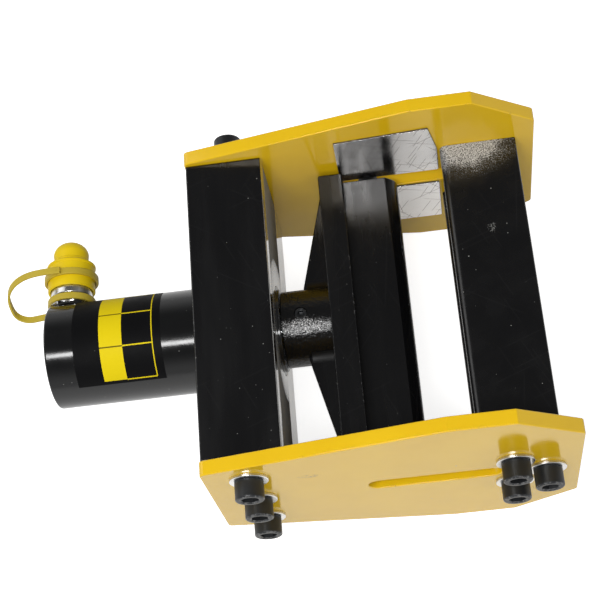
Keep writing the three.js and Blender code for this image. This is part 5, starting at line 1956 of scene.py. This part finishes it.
@dataclass
class Coupler:
    """The quick coupler on the barrel's port, its dust cap and the cap's tether."""

    place: float = -90.4
    face: float = 33.5
    seal_top: float = 35.0
    seal_radius: float = 12.5
    seal_inner: float = 8.8
    hex_half: float = 12.0
    hex_top: float = 41.0
    port_thread_radius: float = 8.5
    port_thread_length: float = 8.0
    stub_radius: float = 7.0
    stub_length: float = 6.0
    base_radius: float = 14.0
    base_top: float = 51.0
    thread_radius: float = 12.75
    thread_top: float = 61.0
    thread_pitch: float = 2.0
    thread_depth: float = 1.0
    tip_radius: float = 9.0
    tip_top: float = 68.0
    mouth_radius: float = 4.5
    seat: float = 63.0
    chamber_low: float = 47.3
    chamber_radius: float = 7.0
    poppet_low: float = 60.2
    poppet_top: float = 68.6
    rim: float = 46.0
    skirt_radius: float = 16.0
    skirt_wall: float = 1.6
    flange_low: float = 63.8
    flange_radius: float = 16.5
    shoulder: float = 66.5
    crown_radius: float = 12.0
    crown_side: float = 73.9
    crown_top: float = 83.5
    crown_wall: float = 2.6
    hollow_top: float = 75.9
    ring_wall: float = 2.0
    strap_width: float = 4.6
    strap_thickness: float = 1.7
    base_ring_low: float = 35.3
    cap_ring_low: float = 52.7
    reach: float = 44.2
    sag: float = 17.9
    lap: float = 3.0
    route: tuple[Triple, ...] = (
        (0.24, 0.0, -0.79), (0.455, 0.0, -0.8), (0.64, 0.02, -0.92), (0.817, 0.065, -1.0),
        (0.948, 0.17, -0.83), (1.0, 0.38, -0.39), (0.986, 0.585, 0.08), (0.887, 0.77, 0.55),
        (0.68, 0.94, 0.89), (0.41, 1.0, 1.055),
    )

    @property
    def hex_corner(self) -> float:
        """Distance of the hexagon's corners from its middle."""
        return self.hex_half / math.cos(math.pi / 6)

    def adapter(self) -> Shell:
        """The adapter: a hexagon with chamfered corners between its thread and its stub.

        Returns:
            The closed surface.
        """
        low, top, wide, flat = self.seal_top, self.hex_top, self.hex_corner, self.hex_half
        start, end = self.face - self.port_thread_length, top + self.stub_length
        thread, stub = self.port_thread_radius, self.stub_radius
        return faceted([
            (start, 0, 0), (start, thread - 0.5, 0), (start + 0.5, thread, 0), (low, thread, 0),
            (low, flat - 0.4, 0, flat, 1), (low + 1.3, wide, 1, flat, 1),
            (low + 1.8, wide, 0.2, flat, 1), (top - 1.8, wide, 0.2, flat, 1),
            (top - 1.3, wide, 1, flat, 1), (top, flat - 0.4, 0, flat, 1),
            (top, stub, 0), (end, stub, 0), (end, 0, 0),
        ], Axis.Y)

    def coupler_body(self) -> Shell:
        """The coupler's turned body with its thread.

        Along the threaded part the radius drops by up to the thread's depth as a triangle wave
        of the place less the pitch times the turn, so that the groove climbs as a screw.

        Returns:
            The closed surface.
        """
        base, thread = self.base_top, self.thread_top
        places = (self.hex_top, base, thread, self.tip_top, self.seat, self.chamber_low)
        corners = shaft(places, (self.base_radius, self.thread_radius, self.tip_radius,
                                 self.mouth_radius, self.chamber_radius), self.chamber_radius + 0.3)
        radii = [0.1, 0.8, 0.6, 0.3, 0.8, 0.3, 0.8, 0.4, 0.2, 0.2, 0.05, 0.05]
        profile, wear = rounded(corners, radii, steps=4, guard=0.1)
        extra = np.arange(base + 0.7, thread - 1.2, 0.2)
        profile, wear = refined(profile, wear, extra, self.thread_radius)
        shell = turned(profile, wear, Axis.Y, closed=True, segments=120)
        x, y, z = shell.points.T
        low, high = base + 0.6, thread - 1.1
        on_thread = (np.hypot(x, z) > self.thread_radius - 0.05) & (y > low) & (y < high)
        phase = (y / self.thread_pitch - np.arctan2(z, x) / (2 * np.pi)) % 1.0
        drop = self.thread_depth * np.abs(2 * phase - 1) * on_thread
        fade = np.clip(y - low, 0, 1) * np.clip(high - y, 0, 1)
        shell.points[:, [0, 2]] *= (1 - drop * fade / self.thread_radius)[:, None]
        return shell

    def poppet(self) -> Shell:
        """The poppet with its broad disc behind the coupler's mouth.

        Returns:
            The closed surface.
        """
        places = (self.poppet_low, self.seat - FIT, self.poppet_top)
        corners = shaft(places, (self.chamber_radius - FIT, self.mouth_radius - FIT))
        return spun(corners, [0.3, 0.3, 0.2, 0.7], Axis.Y, segments=64)

    def cap(self) -> Shell:
        """The dust cap: a domed crown that flares into a flange on a straight skirt.

        The dome is a quarter of an ellipse: its radius is the crown's times the cosine of an
        angle, its place the crown's side plus the rise times the sine.

        Returns:
            The closed surface.
        """
        wall, inner = self.skirt_wall, self.crown_radius - self.crown_wall
        skirt, crown, flange = self.skirt_radius, self.crown_radius, self.flange_radius
        shoulder, low = self.shoulder, self.flange_low
        corners = [
            (self.hollow_top, 0), (self.hollow_top, inner), (shoulder - wall, inner),
            (shoulder - wall, skirt - wall), (self.rim, skirt - wall), (self.rim, skirt),
            (low - 0.2, skirt), (low, flange), (low + 1.5, flange), (shoulder + 0.5, crown + 1.5),
            (shoulder + 1.5, crown + 0.15), (shoulder + 2.5, crown + 0.15),
            (shoulder + 3.1, crown - 0.35), (self.crown_side - 1.2, crown - 0.15),
        ]
        radii = [0.8, 0.4, 0.4, 0.3, 0.4, 0.2, 0.2, 0.6, 1.0, 0.5, 0.3, 0.3]
        profile, wear = rounded(corners, radii, steps=4, guard=0.1, closed=False)
        angle = np.linspace(0, np.pi / 2, 24)
        dome = np.stack([self.crown_side + (self.crown_top - self.crown_side) * np.sin(angle),
                         self.crown_radius * np.cos(angle)], axis=1)
        dome[-1, 1] = 0.0
        profile, wear = np.concatenate([profile, dome]), np.r_[wear, np.zeros(len(dome))]
        return turned(profile, 0.6 * wear, Axis.Y, segments=144)

    def tether(self) -> Shell:
        """The tether: a ring round the hexagon, a ring round the cap and the band between.

        Returns:
            The closed surface.
        """
        lows = (self.base_ring_low, self.cap_ring_low)
        base_inner, cap_inner = self.hex_corner + FIT, self.skirt_radius + FIT
        shapes = []
        for inner, low in zip((base_inner, cap_inner), lows):
            corners = shaft((low, low + self.strap_width), (inner + self.ring_wall,), inner)
            shapes.append(spun(corners, 0.5, Axis.Y, closed=True))
        base_middle, cap_middle = (low + self.strap_width / 2 for low in lows)
        start = base_inner + self.ring_wall / 2
        end = cap_inner + self.ring_wall + FIT + self.strap_thickness / 2
        rise = cap_middle - base_middle
        knots = [(0.0, base_middle, -start)]
        knots += [(-x * self.reach, base_middle + y * rise, z * self.sag) for x, y, z in self.route]
        knots += [(-self.lap, cap_middle, end)]
        thick, wide = self.strap_thickness / 2, self.strap_width / 2
        section = rounded(rectangle((-thick, -wide), (thick, wide)), 0.5, steps=3, guard=0.1)
        return Shell.joined([*shapes, band(smooth_path(knots, 120), *section)])

    def seal(self) -> Shell:
        """The port seal between the barrel's spot face and the adapter."""
        corners = shaft((self.face, self.seal_top), (self.seal_radius,), self.seal_inner)
        return spun(corners, 0.3, Axis.Y, closed=True, guard=0.1)

    def build(self, shop: Shop) -> None:
        """Makes the coupler's pieces and the tether, which rides on no body.

        Args:
            shop: The shop.
        """
        port = (self.place, 0, 0)
        for node, word, shape, finish, slot in (
            ("port_seal", "moulded", self.seal(), Palette.rubber, "black_rubber"),
            ("coupler_adapter", "milled", self.adapter(), Palette.zinc, "zinc_steel"),
            ("coupler_body", "threaded", self.coupler_body(), Palette.zinc, "zinc_steel"),
        ):
            shop.add(node, word, shape.moved(port), finish, slot)
        shop.add("coupler_poppet", "turned", self.poppet().moved(port), Palette.ground,
                 "ground_steel", Body.POPPET)
        shop.shorten("poppet_spring", 1, True)
        shop.add("dust_cap", "moulded", self.cap().moved(port), Palette.plastic,
                 "yellow_plastic", Body.CAP)
        tether = shop.add("tether", "moulded", self.tether().moved(port), Palette.strap_plastic,
                          "yellow_plastic", None, ["cap_tether", "tether_cap_ring"])
        start = Drawing.place((self.place, self.base_ring_low + self.strap_width, 0))
        end = Drawing.place((self.place, self.cap_ring_low, 0))
        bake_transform(tether)


@dataclass
class Studio:
    """The floor, the room's light, the lamps and the camera."""

    camera_place: Triple = (0.095268, -0.39085, 0.97671)
    camera_turn: Triple = (0.42707, 0.10396, -0.10075)
    lens: float = 88.82
    floor_radius: float = 60.0
    floor_seen: float = 0.85
    floor_bounce: float = 0.42
    floor_glow: float = 0.80
    floor_mirrored: float = 0.34
    room_light: float = 0.29
    room_rim: float = 0.7
    front_light: float = 0.52
    room_top: float = 0.12
    key_power: float = 7.2
    key_size: Pair = (0.68, 0.15)
    key_place: Triple = (-0.16, -0.46, 1.15)
    side_power: float = 2.0
    side_place: Triple = (-0.9, 0.5, 0.8)

    def build(self) -> None:
        """Makes the floor, the world, the lamps and the camera, and sets the plain view."""
        self._floor()
        self._world()
        self._lamp("key_lamp", self.key_place, self.key_size, self.key_power)
        self._lamp("side_lamp", self.side_place, (0.7, 0.7), self.side_power)
        self._camera()
        bpy.context.scene.view_settings.view_transform = "Standard"

    def _floor(self) -> None:
        """A round floor under the tool, which keeps the shadow.

        It is pale where it is seen or mirrored, lit a little more for the camera, and darker
        for the light that it throws back onto the tool.
        """
        rim = np.column_stack([circle((0, 0), self.floor_radius, 64), np.zeros(64)])
        mesh = bpy.data.meshes.new("floor")
        mesh.from_pydata(rim.tolist(), [], [list(range(len(rim)))])
        linked("floor", mesh)
        made, graph = new_material("pale_floor")
        path = graph.node("ShaderNodeLightPath").outputs
        seen, bounce = (self.floor_seen,) * 3, (self.floor_bounce,) * 3
        tone = graph.mixed(path["Is Diffuse Ray"], seen, bounce)
        matt = graph.node("ShaderNodeBsdfDiffuse", {"Color": tone})
        camera = graph.times(path["Is Camera Ray"], self.floor_glow)
        strength = graph.math("MULTIPLY_ADD", path["Is Glossy Ray"], self.floor_mirrored, camera)
        glow = graph.node("ShaderNodeEmission", {"Strength": strength})
        both = graph.node("ShaderNodeAddShader", {0: matt.outputs[0], 1: glow.outputs[0]})
        graph.surface(both)
        mesh.materials.append(made)

    def _world(self) -> None:
        """A plain room, a little lighter from the front.

        Mirrored rays see it white near the horizon and darker overhead.
        """
        world = bpy.data.worlds.new("room")
        bpy.context.scene.world = world
        world.use_nodes = True
        graph = Graph(world.node_tree)
        way = graph.parts(graph.node("ShaderNodeTexCoord").outputs[0])
        fall = graph.ramp(way[2], 0.12, 0.75, self.room_rim, self.room_top)
        front = graph.ramp(way[1], 0.2, -0.9, 0.0, self.front_light)
        light = graph.math("ADD", front, self.room_light)
        path = graph.node("ShaderNodeLightPath").outputs
        mirrored = graph.most(path["Is Glossy Ray"], path["Is Transmission Ray"])
        plain = graph.less(1.0, graph.most(mirrored, path["Is Camera Ray"]))
        seen = graph.math("ADD", path["Is Camera Ray"], graph.times(mirrored, fall))
        strength = graph.math("MULTIPLY_ADD", plain, light, seen)
        glow = graph.node("ShaderNodeBackground", {"Strength": strength, "Color": (1, 1, 1)})
        graph.surface(glow, "World")

    def _lamp(self, name: str, place: Numbers, size: Numbers, power: float) -> None:
        """A soft rectangular lamp that points at the tool's middle.

        Args:
            name: The lamp's name.
            place: Its place.
            size: Its two sides.
            power: Its power in watts.
        """
        data = bpy.data.lights.new(name, "AREA")
        data.shape, data.size, data.size_y, data.energy = "RECTANGLE", *size, power
        lamp = linked(name, data)
        lamp.location = place
        target = Vector((0, 0, Drawing.level))
        lamp.rotation_euler = (target - lamp.location).to_track_quat("-Z", "Y").to_euler()

    def _camera(self) -> None:
        """The camera at the photograph's viewing angle."""
        data = bpy.data.cameras.new("camera")
        data.lens, data.sensor_width, data.clip_end = self.lens, 36.0, 500.0
        camera = linked("camera", data)
        camera.location = self.camera_place
        turn = Vector(self.camera_turn)
        camera.rotation_mode = "QUATERNION"
        camera.rotation_quaternion = Quaternion(turn.normalized(), turn.length)
        bpy.context.scene.camera = camera


def main() -> None:
    logging.basicConfig(level=logging.INFO, format="%(name)s: %(message)s")
    Studio().build()
    shop = Shop()
    plates = SidePlates()
    blocks = Blocks(plates)
    plates.build(shop, blocks.rear_bolts + blocks.front_bolts)
    blocks.build(shop)
    fasteners = Fasteners(plates)
    fasteners.build(shop, "rear", blocks.rear_bolts)
    fasteners.build(shop, "front", blocks.front_bolts)
    Cylinder().build(shop)
    Punch().build(shop)
    Coupler().build(shop)


if __name__ == "__main__":
    main()
